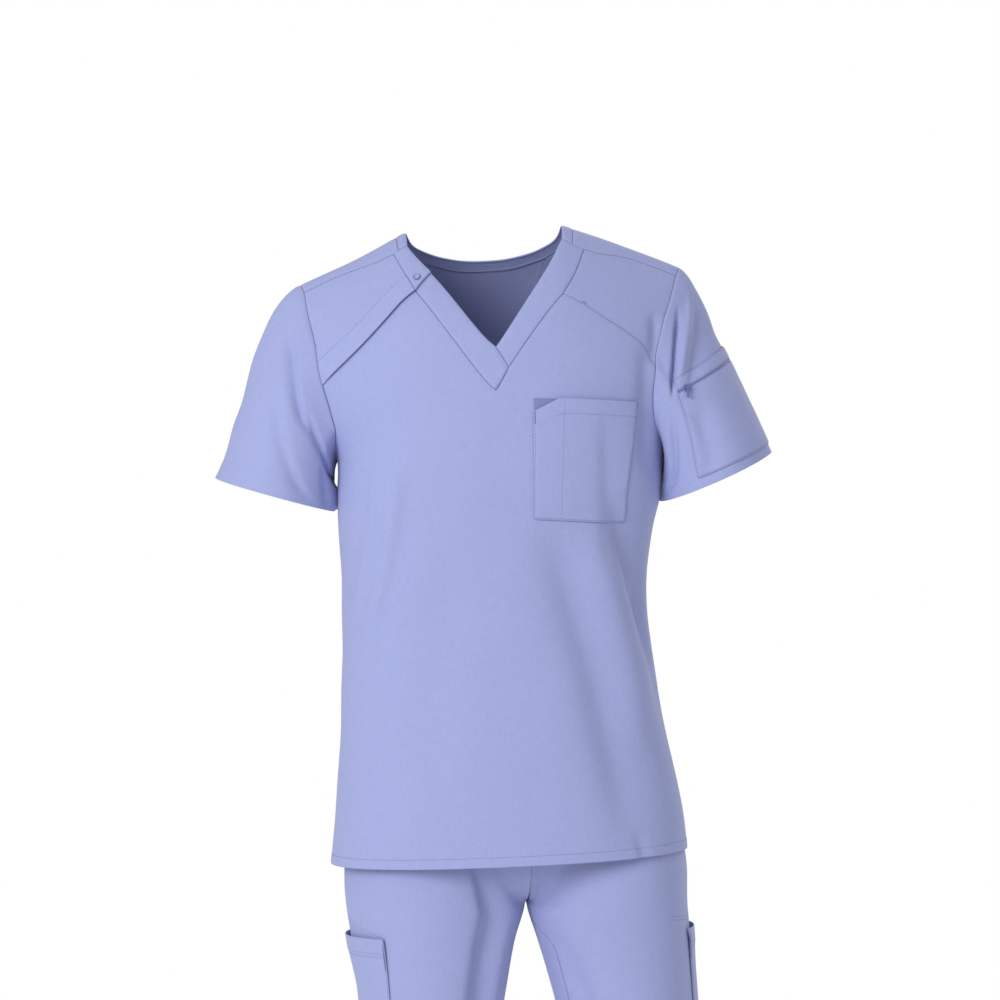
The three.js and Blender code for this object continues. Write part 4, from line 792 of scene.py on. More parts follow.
def plain_piece(name, verts, faces, material, smooth=True):
    mesh = bpy.data.meshes.new(name)
    mesh.from_pydata([tuple(v) for v in verts], [], [tuple(f) for f in faces])
    if smooth:
        mesh.shade_smooth()
    mesh.materials.append(material)
    return linked(name, mesh)


def placed(piece, replaced):
    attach(piece, "garments")
    if replaced:
        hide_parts(replaced)


PANELS = {}  # the first panel of each piece made so far, by the node it stands for


def cut(name, node, panels, cloth, thickness=None):
    PANELS[node] = panels[0]
    piece = cloth_piece(name, panels, cloth, thickness)
    placed(piece, node)


STITCH_HEIGHT = 0.34
TACK_PITCH = 0.62
TACK_WIDTH = 2.0
TACK_THREAD = 0.5
TACK_LIFT = 0.2


class Sewing:
    """Stitches gathered from lines on the cloth, made into one piece of thread."""

    def __init__(self):
        self.verts, self.faces = [], []

    def stitch(self, centre, along_it, normal, length, width):
        side = np.cross(normal, along_it)
        base = len(self.verts)
        self.verts += [
            centre + along_it * length / 2 - normal * 0.1, centre - along_it * length / 2 - normal * 0.1,
            centre + side * width / 2 + normal * 0.06, centre - side * width / 2 + normal * 0.06,
            centre + normal * STITCH_HEIGHT, centre - normal * 0.15,
        ]
        for a, b in ((0, 2), (2, 1), (1, 3), (3, 0)):
            self.faces.append((base + a, base + b, base + 4))
        for a, b in ((2, 0), (1, 2), (3, 1), (0, 3)):
            self.faces.append((base + a, base + b, base + 5))

    def run(self, points, normals):
        """A row of stitches along a line."""
        sewing = bpy.context.scene.scrubs_sewing
        self.sew(points, normals, sewing.pitch / MM, sewing.length / MM, sewing.width / MM)

    def tack(self, start, stop, normal):
        """A bar tack: close stitches across a short line."""
        line = mix(np.asarray(start)[None], np.asarray(stop)[None], np.linspace(0, 1, 6)[:, None])
        normals = np.repeat(np.asarray(normal)[None], 6, 0)
        self.sew(line, normals, TACK_PITCH, TACK_WIDTH, TACK_THREAD, turned=True, lift=TACK_LIFT)

    def sew(self, points, normals, pitch, length, width, turned=False, lift=0.0):
        if len(points) < 2:
            return
        runs = runs_of(points)
        number = max(int(runs[-1] / pitch), 1)
        at = (np.arange(number) + 0.5) * runs[-1] / number
        centres = sampled_at(at, runs, points)
        ns = unit(sampled_at(at, runs, normals))
        ahead = sampled_at(at + 0.5, runs, points) - sampled_at(at - 0.5, runs, points)
        ahead = unit(ahead - ns * (ahead * ns).sum(-1, keepdims=True))
        if turned:
            ahead = np.cross(ns, ahead)
        for c, a, n in zip(centres + ns * lift, ahead, ns):
            self.stitch(c, a, n, length, width)

    def piece(self, name):
        """Makes all the stitches one piece of thread."""
        colour = tuple(bpy.context.scene.scrubs_sewing.colour)
        thread = bpy.data.materials.get("scrubs_thread") or thread_material("scrubs_thread", colour)
        placed(plain_piece(name, np.array(self.verts) * MM, self.faces, thread), None)


# Materials
def node_group(name, inputs, outputs, build):
    """A shader node group, made once. Inputs are (name, socket type, default)."""
    group = bpy.data.node_groups.get(name)
    if group:
        return group
    group = bpy.data.node_groups.new(name, "ShaderNodeTree")
    for label, kind, value in inputs:
        socket = group.interface.new_socket(label, in_out="INPUT", socket_type=kind)
        if value is not None:
            socket.default_value = value
    for label, kind in outputs:
        group.interface.new_socket(label, in_out="OUTPUT", socket_type=kind)
    wires = Wires(group)
    start, stop = wires.node("NodeGroupInput"), wires.node("NodeGroupOutput")
    build(wires, start.outputs, stop.inputs)
    return group


def preset(node, **values):
    """Sets a node's inputs, whose names are given with a low line for each space."""
    for label, value in values.items():
        node.inputs[label.replace("_", " ")].default_value = value


class Wires:
    """Adds nodes to a tree and joins them."""

    def __init__(self, tree):
        self.tree = tree

    def node(self, kind, **settings):
        made = self.tree.nodes.new(kind)
        for key, value in settings.items():
            setattr(made, key, value)
        return made

    def join(self, a, b):
        self.tree.links.new(a, b)

    def math(self, operation, a, b=None, c=None, clamp=False):
        made = self.node("ShaderNodeMath", operation=operation, use_clamp=clamp)
        for socket, value in zip(made.inputs, (a, b, c)):
            self.put(socket, value)
        return made.outputs[0]

    def put(self, socket, value):
        if value is None:
            return
        if isinstance(value, bpy.types.NodeSocket):
            self.join(value, socket)
        else:
            socket.default_value = value

    def noise(self, place, **values):
        made = self.node("ShaderNodeTexNoise")
        self.join(place, made.inputs["Vector"])
        preset(made, **values)
        return made.outputs[0]

    def bump(self, height, distance, shader):
        made = self.node("ShaderNodeBump")
        preset(made, Strength=1, Distance=distance)
        self.join(height, made.inputs["Height"])
        self.join(made.outputs[0], shader.inputs["Normal"])

    def mixed(self, factor, a, b):
        made = self.node("ShaderNodeMix", data_type="RGBA")
        for index, value in ((0, factor), (6, a), (7, b)):
            self.put(made.inputs[index], value)
        return made.outputs[2]

    def group(self, tree, **values):
        made = self.node("ShaderNodeGroup", node_tree=tree)
        for label, value in values.items():
            self.put(made.inputs[label], value)
        return made.outputs


def new_material(name):
    material = bpy.data.materials.new(name)
    material.use_nodes = True
    return material, Wires(material.node_tree), material.node_tree.nodes["Principled BSDF"]


def tinted(colour, share):
    return (*(min(c * share, 1) for c in colour), 1)


THREAD_THICK_PLACES = ((620, 80, 1), (80, 620, 1))  # stretched along the warp, and along the weft
# Depths of the cloth's bump, in metres
WEAVE_DEPTH = 0.00004
BROAD_CREASE_DEPTH = 0.0006
FINE_CREASE_DEPTH = 0.00012
SEWN_GROOVE_DEPTH = 0.0005


def build_weave(wires, start, stop):
    """Threads that go over and under one another, with thick and thin places in them."""
    parts = wires.node("ShaderNodeSeparateXYZ")
    wires.join(start["Cloth"], parts.inputs[0])
    turns = wires.math("MULTIPLY", start["Threads"], math.pi)
    waves = [wires.math("SINE", wires.math("MULTIPLY", parts.outputs[k], turns)) for k in (0, 1)]
    crossing = wires.math("MULTIPLY_ADD", wires.math("MULTIPLY", *waves), 0.35, 0.5)
    highest = wires.math("MAXIMUM", *(wires.math("ABSOLUTE", wave) for wave in waves))
    height = wires.math("MULTIPLY", highest, crossing)
    slubs = []
    for scale in THREAD_THICK_PLACES:
        stretch = wires.node("ShaderNodeVectorMath", operation="MULTIPLY")
        stretch.inputs[1].default_value = scale
        wires.join(start["Cloth"], stretch.inputs[0])
        slubs.append(wires.noise(stretch.outputs[0], Scale=1, Detail=1))
    wires.join(height, stop["Height"])
    wires.join(wires.math("MULTIPLY", wires.math("ADD", *slubs), 0.5), stop["Threads"])


def build_soft_creases(wires, start, stop):
    """Faint creases and unevenness of worn cloth."""
    scaled = wires.node("ShaderNodeVectorMath", operation="SCALE")
    wires.join(start["Place"], scaled.inputs[0])
    wires.join(start["Scale"], scaled.inputs["Scale"])
    uneven = wires.noise(scaled.outputs[0], Scale=1, Detail=3, Roughness=0.45, Distortion=0.6)
    wires.join(uneven, stop["Height"])
    centred = wires.math("SUBTRACT", uneven, 0.5)
    wires.join(wires.math("MULTIPLY_ADD", centred, start["Amount"], 1.0), stop["Shade"])


def build_sewn_line(wires, start, stop):
    """A mask for a line at one distance from an edge: the sewing's own line and the painted shade in its
    groove.
    """
    away = wires.math("ABSOLUTE", wires.math("SUBTRACT", start["Distance"], start["At"]))
    near = wires.math("SUBTRACT", 1.0, wires.math("DIVIDE", away, start["Width"]), clamp=True)
    wires.join(wires.math("MULTIPLY", near, near), stop["Mask"])


def cloth_material(name, colour, sewn=(), hems=()):
    """Woven cloth, with darker lines at these distances (mm) from its seams and hems, partly the sewing's own
    line and partly painted shade in its groove.
    """
    vector, number = "NodeSocketVector", "NodeSocketFloat"
    weave = node_group(
        "Scrubs plain weave",
        [("Cloth", vector, None), ("Threads", number, 2600.0)],
        [("Height", number), ("Threads", number)],
        build_weave,
    )
    creases = node_group(
        "Scrubs soft creases",
        [("Place", vector, None), ("Scale", number, 14.0), ("Amount", number, 0.1)],
        [("Height", number), ("Shade", number)],
        build_soft_creases,
    )
    line = node_group(
        "Scrubs sewn line and shade",
        [("Distance", number, FAR), ("At", number, 2.0), ("Width", number, 0.9)],
        [("Mask", number)],
        build_sewn_line,
    )
    material, wires, shader = new_material(name)
    place = wires.node("ShaderNodeTexCoord")
    cloth = wires.node("ShaderNodeUVMap", uv_map="weave")
    settings = bpy.context.scene.scrubs_cloth
    threads = wires.group(weave, Cloth=cloth.outputs[0], Threads=settings.threads)
    broad = wires.group(creases, Place=place.outputs["Object"], Scale=15.0, Amount=0.1)
    fine = wires.group(creases, Place=place.outputs["Object"], Scale=70.0, Amount=0.05)
    sewn_lines_and_shade = None
    for field, distances in (("from_seam", sewn), ("from_hem", hems)):
        away = wires.node("ShaderNodeAttribute", attribute_name=field)
        for at, width, strength in distances:
            sewing = wires.group(line, Distance=away.outputs["Fac"], At=at, Width=width)
            mask = wires.math("MULTIPLY", sewing["Mask"], strength)
            sewn_lines_and_shade = mask if sewn_lines_and_shade is None else wires.math("MAXIMUM", sewn_lines_and_shade, mask)
    height = wires.math("MULTIPLY", threads["Height"], WEAVE_DEPTH)
    height = wires.math("MULTIPLY_ADD", broad["Height"], BROAD_CREASE_DEPTH, height)
    height = wires.math("MULTIPLY_ADD", fine["Height"], FINE_CREASE_DEPTH, height)
    if sewn_lines_and_shade is not None:
        height = wires.math("MULTIPLY_ADD", sewn_lines_and_shade, -SEWN_GROOVE_DEPTH, height)
    wires.bump(height, 1, shader)
    lighter = tinted(colour, 1.07)
    grain = wires.math("SUBTRACT", threads["Threads"], 0.35, clamp=True)
    base = wires.mixed(wires.math("MULTIPLY", grain, 2.0, clamp=True), tinted(colour, 0.86), lighter)
    base = wires.mixed(0.3, base, tinted(colour, 1))
    shade = wires.math("MULTIPLY", wires.math("SUBTRACT", broad["Shade"], 0.95), 6.0, clamp=True)
    base = wires.mixed(wires.math("MULTIPLY", shade, 0.25), base, lighter)
    if sewn_lines_and_shade is not None:
        # Painted shade: the cloth is darkened along its seams and stitching, partly the sewing's own line and
        # partly the shade in its groove
        base = wires.mixed(sewn_lines_and_shade, base, tinted(colour, 0.45))
    wires.join(base, shader.inputs["Base Color"])
    rough = wires.math("MULTIPLY_ADD", fine["Height"], 0.16, 0.72)
    wires.join(rough, shader.inputs["Roughness"])
    preset(shader, Sheen_Weight=0.22, Sheen_Roughness=0.45, Specular_IOR_Level=0.28)
    return material


def thread_material(name, colour):
    material, wires, shader = new_material(name)
    place = wires.node("ShaderNodeTexCoord")
    twist = wires.noise(place.outputs["Object"], Scale=900)
    base = wires.mixed(twist, tinted(colour, 0.7), tinted(colour, 1.1))
    wires.join(base, shader.inputs["Base Color"])
    wires.bump(twist, 0.0001, shader)
    preset(shader, Roughness=0.5, Sheen_Weight=0.2)
    return material


def fitting_material(name, colour, roughness, metallic):
    """Dyed metal or plastic, a little worn and unevenly polished."""
    material, wires, shader = new_material(name)
    place = wires.node("ShaderNodeTexCoord")
    polish = wires.noise(place.outputs["Object"], Scale=420, Detail=4)
    wires.join(wires.mixed(polish, tinted(colour, 0.8), tinted(colour, 1.15)), shader.inputs["Base Color"])
    wires.join(wires.math("MULTIPLY_ADD", polish, 0.2, roughness - 0.1), shader.inputs["Roughness"])
    wires.bump(polish, 0.00005, shader)
    preset(shader, Metallic=metallic, Specular_IOR_Level=0.3)
    return material


# What a user may change
def amount(name, description, default, low, high, unit="NONE"):
    return FloatProperty(name=name, description=description, default=default, min=low, max=high, unit=unit)


def measure(name, description, default, low, high):
    return amount(name, description, default, low, high, unit="LENGTH")


def tint(name, description, default):
    return FloatVectorProperty(
        name=name, description=description, default=default, subtype="COLOR", size=3, min=0, max=1,
    )


class ScrubsClothSettings(bpy.types.PropertyGroup):
    colour: tint("Cloth", "Colour of the dyed cloth", (0.36, 0.40, 0.70))
    # The pocket lining is the cloth painted darker: painted shade inside the chest pocket
    lining_painted_shade: tint("Pocket lining", "Colour of the cloth inside the chest pocket", (0.22, 0.25, 0.50))
    thickness: measure("Thickness", "Thickness of one layer of cloth", 0.0009, 0.0003, 0.0014)
    threads: amount("Threads", "Threads to a metre of cloth", 2600, 800, 6000)
    ripple_height: measure("Ripples", "Height of the faint waves of worn cloth", 0.0012, 0, 0.003)


class ScrubsSewingSettings(bpy.types.PropertyGroup):
    pitch: measure("Pitch", "From one stitch to the next", 0.0040, 0.0015, 0.006)
    length: measure("Length", "Length of a stitch", 0.0026, 0.001, 0.005)
    width: measure("Width", "Width of the thread", 0.0008, 0.0003, 0.001)
    colour: tint("Thread", "Colour of the thread", (0.16, 0.185, 0.40))
    zip_colour: tint("Zip", "Colour of the zip's tape, teeth and slider", (0.20, 0.23, 0.46))


class ScrubsStageSettings(bpy.types.PropertyGroup):
    floor: measure("Floor", "Height of the floor", -1.6, -2, -1.56)
    backdrop: tint("Backdrop", "Colour of the floor and surroundings", (0.94, 0.94, 0.95))
    key_power: amount("Key light", "Power of the large light in front", 95, 0, 400, unit="POWER")
    camera_distance: measure("Camera distance", "From the camera to the garment's middle", 3.5, 1, 8)
    frame_width: measure("Frame width", "Width that the camera sees at the garment's middle", 1.17, 0.3, 3)


def cloth_colour():
    return tuple(bpy.context.scene.scrubs_cloth.colour)


# Lines of sewing that show in the cloth, darkened partly as the sewing's own line and partly as painted shade
# in its groove: the distance from the edge, the width and the strength
SEAM_LINE_AND_SHADE = (0.0, 0.75, 0.6)
TOPSTITCH = 1.9
PATCH_LINES_AND_SHADE = [(0.0, 0.6, 0.5), (TOPSTITCH, 0.7, 0.25)]


def woven(name, sewn=(SEAM_LINE_AND_SHADE,), hems=()):
    return bpy.data.materials.get(name) or cloth_material(name, cloth_colour(), sewn, hems)


# Fractions along the panels' edges, so many to each step of the pattern
HEM_ROWS = (0.03, 0.24, 0.265, 0.29, 0.33)  # beside the hem's edge and its stitching
BESIDE_SEAM = (0.035, 0.075, 0.16)
SIDE_ROWS = [9] * 11
HEM_DEPTH = 11.0
FLAP_FACING_DEPTH = 25.0


def front_panel(plain):
    """The front, up to the neckband, the yoke and beneath the flap."""
    front_top = joined(
        divide([UNDERLAP_SIDE, UNDERLAP_NECK], STEPS["flap"]), straight(UNDERLAP_NECK, BAND_LOW_RIGHT[0]),
        BAND_LOW_RIGHT, BAND_TIP, BAND_LEFT, YOKE_EDGE,
    )
    left = joined(side_seam("right", 1), armhole_low_edge("right"),
                  straight(armhole_top_edge("right")[0], UNDERLAP_SIDE))
    right = joined(side_seam("left", 1), armhole_low_edge("left"))
    up = spaced(SIDE_ROWS + [5] * 7, HEM_ROWS, BESIDE_SEAM)
    across = spaced([4] * 27, BESIDE_SEAM, BESIDE_SEAM)
    places = fill(hem_edge(1, 27), front_top, left, right, across, up)
    front = Panel(*top_cloth(places), seams=("left", "right", "top"), hems={"bottom": HEM_DEPTH})
    cut("front_panel", "front", [front], plain)


def back_panel(plain):
    """The back in four grids: low, beside the neck on the right, below it, and on the left."""
    arm = {side: armhole_back_edge(side) for side in SIDES}
    neck_right, neck_middle, neck_left = neck_edges()
    under = back_places(BLADE_LINE)
    columns = STEPS["shoulder"] + 1
    blades = [
        divide([arm["right"][BLADE_ROW * FINE], under[0]], columns),
        divide(under, NECK_MIDDLE),
        divide([under[2], arm["left"][BLADE_ROW * FINE]], columns),
    ]
    rise_right = divide([under[0], neck_middle[0]], BLADE_ROW - NECK_SIDE)
    rise_left = divide([under[2], neck_middle[-1]], BLADE_ROW - NECK_SIDE)
    over = {side: arm[side][: BLADE_ROW * FINE + 1][::-1] for side in arm}
    below = {side: joined(side_seam(side, -1), arm[side][BLADE_ROW * FINE:][::-1]) for side in arm}
    over_right = joined(SHOULDER_EDGE["right"][::-1], BAND_END_EDGE["right"][: FINE + 1])
    over_left = joined(BAND_END_EDGE["left"][: FINE + 1][::-1], SHOULDER_EDGE["left"])
    outward = spaced([5] * 7, BESIDE_SEAM)
    inward = 1 - outward[::-1]
    middle = spaced([5] * 6)
    wide = np.concatenate([outward * 7, (7 + middle * 6)[1:], (13 + inward * 7)[1:]]) / 20
    low_up = spaced(SIDE_ROWS + [4] * 7, HEM_ROWS)
    rise_up = spaced([5] * 2, (), BESIDE_SEAM)
    high_up = np.concatenate([rise_up * 2, (2 + spaced([5] * 4, (), BESIDE_SEAM) * 4)[1:]]) / 6
    beside_right, beside_left = joined(rise_right, neck_right[::-1]), joined(rise_left, neck_left)
    grids = [
        fill(hem_edge(-1, 20), joined(*blades), below["right"], below["left"], wide, low_up),
        fill(blades[0], over_right, over["right"], beside_right, outward, high_up),
        fill(blades[1], neck_middle, rise_right, rise_left, middle, rise_up),
        fill(blades[2], over_left, beside_left, over["left"], inward, high_up),
    ]
    cut("back_panel", "back", back_panels(grids), plain)


def shoulder_yoke(plain):
    """The left shoulder's yoke."""
    up = spaced([5] * 5, BESIDE_SEAM, BESIDE_SEAM)
    across = spaced([5] * 6, BESIDE_SEAM, BESIDE_SEAM)
    places = fill(YOKE_EDGE, SHOULDER_EDGE["left"], BAND_TOP_LEFT, armhole_top_edge("left"), across, up)
    yoke = Panel(*top_cloth(places), seams=("left", "right", "top", "bottom"))
    cut("yoke_left_piece", "shoulder_yoke_left", [yoke], plain)


def shoulder_flap():
    """The right shoulder's flap, whose lower edge is free."""
    facing = woven("scrubs_cloth_flap", hems=[(FLAP_FACING_DEPTH, 0.7, 0.3)])
    up = spaced([7] * 5, (0.06, 0.14, 0.22), BESIDE_SEAM)
    across = spaced([6] * 6, BESIDE_SEAM, BESIDE_SEAM)
    shoulder = SHOULDER_EDGE["right"][::-1]
    places = fill(FLAP_EDGE[::-1], shoulder, armhole_top_edge("right"), BAND_TOP_RIGHT, across, up)
    hems = {"bottom": FLAP_FACING_DEPTH}
    flap = Panel(*lifted_cloth(places), seams=("left", "right", "top"), hems=hems)
    cut("shoulder_flap_piece", "shoulder_flap_right", [flap], facing)


class SCRUBS_OT_top_panels(bpy.types.Operator):
    """Builds the top's front, back, shoulder yoke and shoulder flap"""

    bl_idname = "scrubs.top_panels"
    bl_label = "Top panels"

    def execute(self, context):
        plain = woven("scrubs_cloth_top", hems=[(HEM_DEPTH, 0.7, 0.25)])
        front_panel(plain)
        back_panel(plain)
        shoulder_yoke(plain)
        shoulder_flap()
        return {"FINISHED"}


FLAP_LIFT = 3.2
FLAP_FLAT = 18
FLAP_RISES = 24


def on_ridge(point):
    place = places_at([point])[0]
    place[1] = 0
    return place


def back_panels(grids):
    """The back's four grids as panels of one cloth, turned to be seen from behind, with their outer seams."""
    clothes = [turned_round(*top_cloth(grid)) for grid in grids]
    low, right, middle, left = [points for points, _ in clothes]
    arm_right = np.concatenate([low[:, -1], right[:, -1]])
    arm_left = np.concatenate([low[:, 0], left[:, 0]])
    shoulders = [right[-1], left[-1]]
    neck = np.concatenate([right[::-1, 0], middle[-1, ::-1], left[:, -1]])
    lines = [arm_right, arm_left, *shoulders, neck]
    panels = []
    for points, normals in clothes:
        panel = Panel(points, normals, hems={"bottom": HEM_DEPTH} if points is low else None)
        for line in lines:
            panel.from_seam = np.minimum(panel.from_seam, distance_to(points, line)[0])
        dip = SEAM_DIP * np.exp(-((panel.from_seam / SEAM_ROLL) ** 2))
        panel.points = panel.points - normals * dip[..., None]
        panels.append(panel)
    return panels


FLAP_WAY = np.array([FLAP_SEAM[-1][0] - FLAP_NECK[0], FLAP_SEAM[-1][1] - FLAP_NECK[1]], float)
FLAP_UP = np.array([FLAP_WAY[1], -FLAP_WAY[0]]) / np.linalg.norm(FLAP_WAY)


def lifted_cloth(places, out=0.0):
    """The flap's cloth, which stands off the front near its free edge and is sewn down at the armhole."""
    p, n = top_cloth(places, out)
    from_edge = (p[..., 0] - FLAP_NECK[0]) * FLAP_UP[0] + (p[..., 2] - FLAP_NECK[1]) * FLAP_UP[1]
    from_neck = np.hypot(p[..., 0] - FLAP_NECK[0], p[..., 2] - FLAP_NECK[1])
    share = 1 - ease(FLAP_FLAT, FLAP_FLAT + FLAP_RISES, from_edge)
    share = share * mix(0.35, 1, ease(0, 22, np.linalg.norm(FLAP_WAY) - from_neck))
    return p + n * (FLAP_LIFT * share)[..., None], n


NECKBAND_THICKNESS = 0.0016  # two layers


class SCRUBS_OT_neckband(bpy.types.Operator):
    """Builds the V neckband: two fronts, the part on the flap and the back"""

    bl_idname = "scrubs.neckband"
    bl_label = "Neckband"

    def execute(self, context):
        cloth = woven("scrubs_cloth_band", [(0.0, 0.6, 0.3), (1.5, 0.5, 0.12)])
        crossing = divide(places_at([BAND_CROSSING_INNER, BAND_CROSSING]), STEPS["across"])
        crossing = end_at(crossing, BAND_TIP[-1])
        inner_top = divide(places_at(BAND_INNER_RIGHT[::-1]), STEPS["band_top"])
        low_start = divide([UNDERLAP_NECK, inner_top[FINE]], STEPS["across"])
        high_stop = divide([BAND_TOP_RIGHT[0], inner_top[0]], STEPS["across"])
        inner_low = divide([inner_top[0], crossing[0]], STEPS["band"] - STEPS["across"])
        inner_left = divide(places_at(BAND_INNER_LEFT), STEPS["band"] + STEPS["band_top"])
        ends = {side: places_at([BAND_END[side][2]])[0] for side in SIDES}
        inner_back = divide(
            [ends["right"], on_ridge(NECK_POINT["right"]), *back_places(BACK_NECK_INNER),
             on_ridge(NECK_POINT["left"]), ends["left"]],
            2 * NECK_SIDE + NECK_MIDDLE,
        )
        outer_back = joined(*neck_edges())
        back_ends = [straight(outer_back[end], inner_back[end]) for end in (0, -1)]
        across_band = spaced([4] * 2, (0.12, 0.3), (0.1, 0.25))
        low = fill(
            joined(straight(UNDERLAP_NECK, BAND_LOW_RIGHT[0]), BAND_LOW_RIGHT),
            joined(straight(inner_top[FINE], inner_top[0]), inner_low, crossing),
            low_start, BAND_TIP, spaced([6] * 7, (), (0.15, 0.4)), across_band,
        )
        high = fill(
            BAND_TOP_RIGHT[::-1], inner_top[::-1], BAND_END_EDGE["right"], high_stop,
            spaced([6] * 5, (0.15,), (0.15,)), across_band,
        )
        left = fill(
            joined(BAND_LEFT, BAND_TOP_LEFT), inner_left, crossing[::-1], BAND_END_EDGE["left"],
            spaced([6] * 11, (0.12, 0.3), (0.15,)), across_band,
        )
        along_back, across_back = spaced([6] * 14), spaced([8], (0.06, 0.16), (0.06, 0.14))
        back = fill(outer_back, inner_back, *back_ends, along_back, across_back)
        made = (
            ("neckband_right_piece", "neckband_right", low, top_cloth, ("bottom", "right"), False),
            ("neckband_flap_piece", "neckband_right_top", high, lifted_cloth, ("bottom", "left"), False),
            ("neckband_left_piece", "neckband_left", left, top_cloth, ("bottom", "left", "right"), False),
            ("neckband_back_piece", "neckband_back", back, top_cloth, ("bottom", "left", "right"), True),
        )
        for name, node, places, surface, seams, behind in made:
            points, normals = surface(places)
            if behind:
                points, normals = turned_round(points, normals)
            band = Panel(points, normals, seams=seams, tucked=("top",), dip=0.25)
            rise = 0.4 * (1 - np.exp(-((band.away["bottom"] / 2.0) ** 2)))
            band.points = band.points + normals * rise[..., None]
            band.away["top"], _ = distance_to(band.points, band.points[-1])
            band.from_hem = band.away["top"]
            cut(name, node, [band], cloth, NECKBAND_THICKNESS)
        return {"FINISHED"}


def neck_edges():
    """The neckband's outer seam behind, in three parts from one shoulder seam to the other."""
    outer = back_places(BACK_NECK_OUTER)
    seam = {side: places_at([BAND_END[side][1]])[0] for side in SIDES}
    ridge = {side: on_ridge(BACK_BAND_POINT[side]) for side in SIDES}
    return (
        divide([seam["right"], ridge["right"], outer[0], outer[1]], NECK_SIDE),
        divide(outer[1:6], NECK_MIDDLE),
        divide([outer[5], outer[6], ridge["left"], seam["left"]], NECK_SIDE),
    )


SLEEVE_HEM = 22.0


class SCRUBS_OT_sleeves(bpy.types.Operator):
    """Builds the two set-in sleeves"""

    bl_idname = "scrubs.sleeves"
    bl_label = "Sleeves"

    def execute(self, context):
        cloth = woven("scrubs_cloth_sleeve")
        by_hem, by_cap = [1, 0.994, 0.95, 0.91, 0.898, 0.886, 0.87], [0.03, 0.018, 0.01, 0.004, 0]
        down = np.concatenate([by_hem, np.linspace(0.85, 0.05, 46), by_cap])
        turn = np.concatenate([[-180, -179.2, -178], np.linspace(-176, 176, 118), [178, 179.2, 180]])
        for side in SIDES:
            points, normals = sleeve_cloth(side, turn[None], down[:, None])
            if side == "left":
                points, normals = turned_round(points, normals)
            sleeve = Panel(points, normals, seams=("left", "right"), hems={"bottom": SLEEVE_HEM})
            sleeve.away["top"], _ = distance_to(sleeve.points, sleeve.points[-1])
            sleeve.from_seam = np.minimum(sleeve.from_seam, sleeve.away["top"])
            node = f"sleeve_{side}"
            cut(node + "_piece", node, [sleeve], cloth)
        return {"FINISHED"}


ELASTIC_ROWS = 4
GATHERS = 84  # all round the waist
WAISTBAND_THICKNESS = 0.0018  # two layers
TROUSER_HEM_DEPTH = 25.0
TROUSER_HEM_STITCHES = 24.4


def trouser_panel(leg, face):
    low, high = TROUSER_HEM, WAIST_TOP - WAISTBAND_HEIGHT
    by_hem = low + np.array([0, 1.2, 7, 14, 20, 23.4, 24.4, 25.4, 27.5])
    z = np.concatenate([by_hem, np.arange(low + 34, high - 5, 7.0), [high - 2, high]])
    across = np.concatenate([[0, 0.006, 0.013, 0.03], np.linspace(0.05, 0.95, 45), [0.97, 0.987, 0.994, 1]])
    points, normals = trouser_cloth(leg, face, across[None], z[:, None])
    if (leg == "right") != (face > 0):
        points, normals = turned_round(points, normals)
    return Panel(points, normals, seams=("left", "right"), hems={"bottom": TROUSER_HEM_DEPTH})


class SCRUBS_OT_trousers(bpy.types.Operator):
    """Builds the trousers' four panels and their elastic waistband"""

    bl_idname = "scrubs.trousers"
    bl_label = "Trousers"

    def execute(self, context):
        cloth = woven("scrubs_cloth_trousers", hems=[(TROUSER_HEM_STITCHES, 0.7, 0.25)])
        for leg in SIDES:
            for face, side in ((1, "front"), (-1, "back")):
                node = f"trouser_{side}_{leg}"
                cut(node + "_panel", node, [trouser_panel(leg, face)], cloth)
        turn = np.linspace(0, 360, 361)[None]
        z = np.linspace(WAIST_TOP - WAISTBAND_HEIGHT + 0.8, WAIST_TOP, 22)[:, None]
        points = hip_point(turn, z)
        middle = hip_point(turn, z + 0 * turn) * [0, 0, 1] + [19, 0, 0]
        normals = unit(points - middle)
        height = (z - z[0]) / WAISTBAND_HEIGHT
        rows = np.abs(np.sin(height * math.pi * ELASTIC_ROWS))
        angle = np.radians(turn)
        gathers = np.sin(angle * GATHERS + 1.6 * np.sin(angle * 7 + height * 2))
        out = 0.5 * gathers * rows**0.5 + 0.5 * rows
        out = out * ease(0, 0.08, height) * ease(0, 0.08, 1 - height)
        band = Panel(points, normals, hems={"top": 3.0, "bottom": 3.0})
        band.points = band.points + normals * out[..., None]
        cut("waistband_piece", "waistband", [band], cloth, WAISTBAND_THICKNESS)
        return {"FINISHED"}


PATCH_EDGES = ("left", "right", "bottom")
CHEST_HEM = 17.0
POCKET_CORNER_OUT = 5.5  # the fold under the pocket's lower outer corner draws it in by as much
POCKET_RISE = 2.3  # the outer face of a pocket's cloth above the panel beneath it


def patch_columns(count):
    """Fractions across a pocket, close to one another at its sides."""
    return np.concatenate([[0, 0.008, 0.016, 0.03], np.linspace(0.05, 0.95, count), [0.97, 0.984, 0.992, 1]])


def flat_grid(corners, columns, rows, across, up):
    """A grid seen from the front. Its corners go from the lower left to the right, up, and back leftwards."""
    low_left, low_right, up_right, *up_left = [np.array(c, float) for c in corners]
    tops = [*up_left[::-1], up_right]
    top = joined(*(straight(a, b, n) for a, b, n in zip(tops, tops[1:], columns)))
    left, right = straight(low_left, top[0], rows), straight(low_right, up_right, rows)
    return fill(straight(low_left, low_right, sum(columns)), top, left, right, across, up)


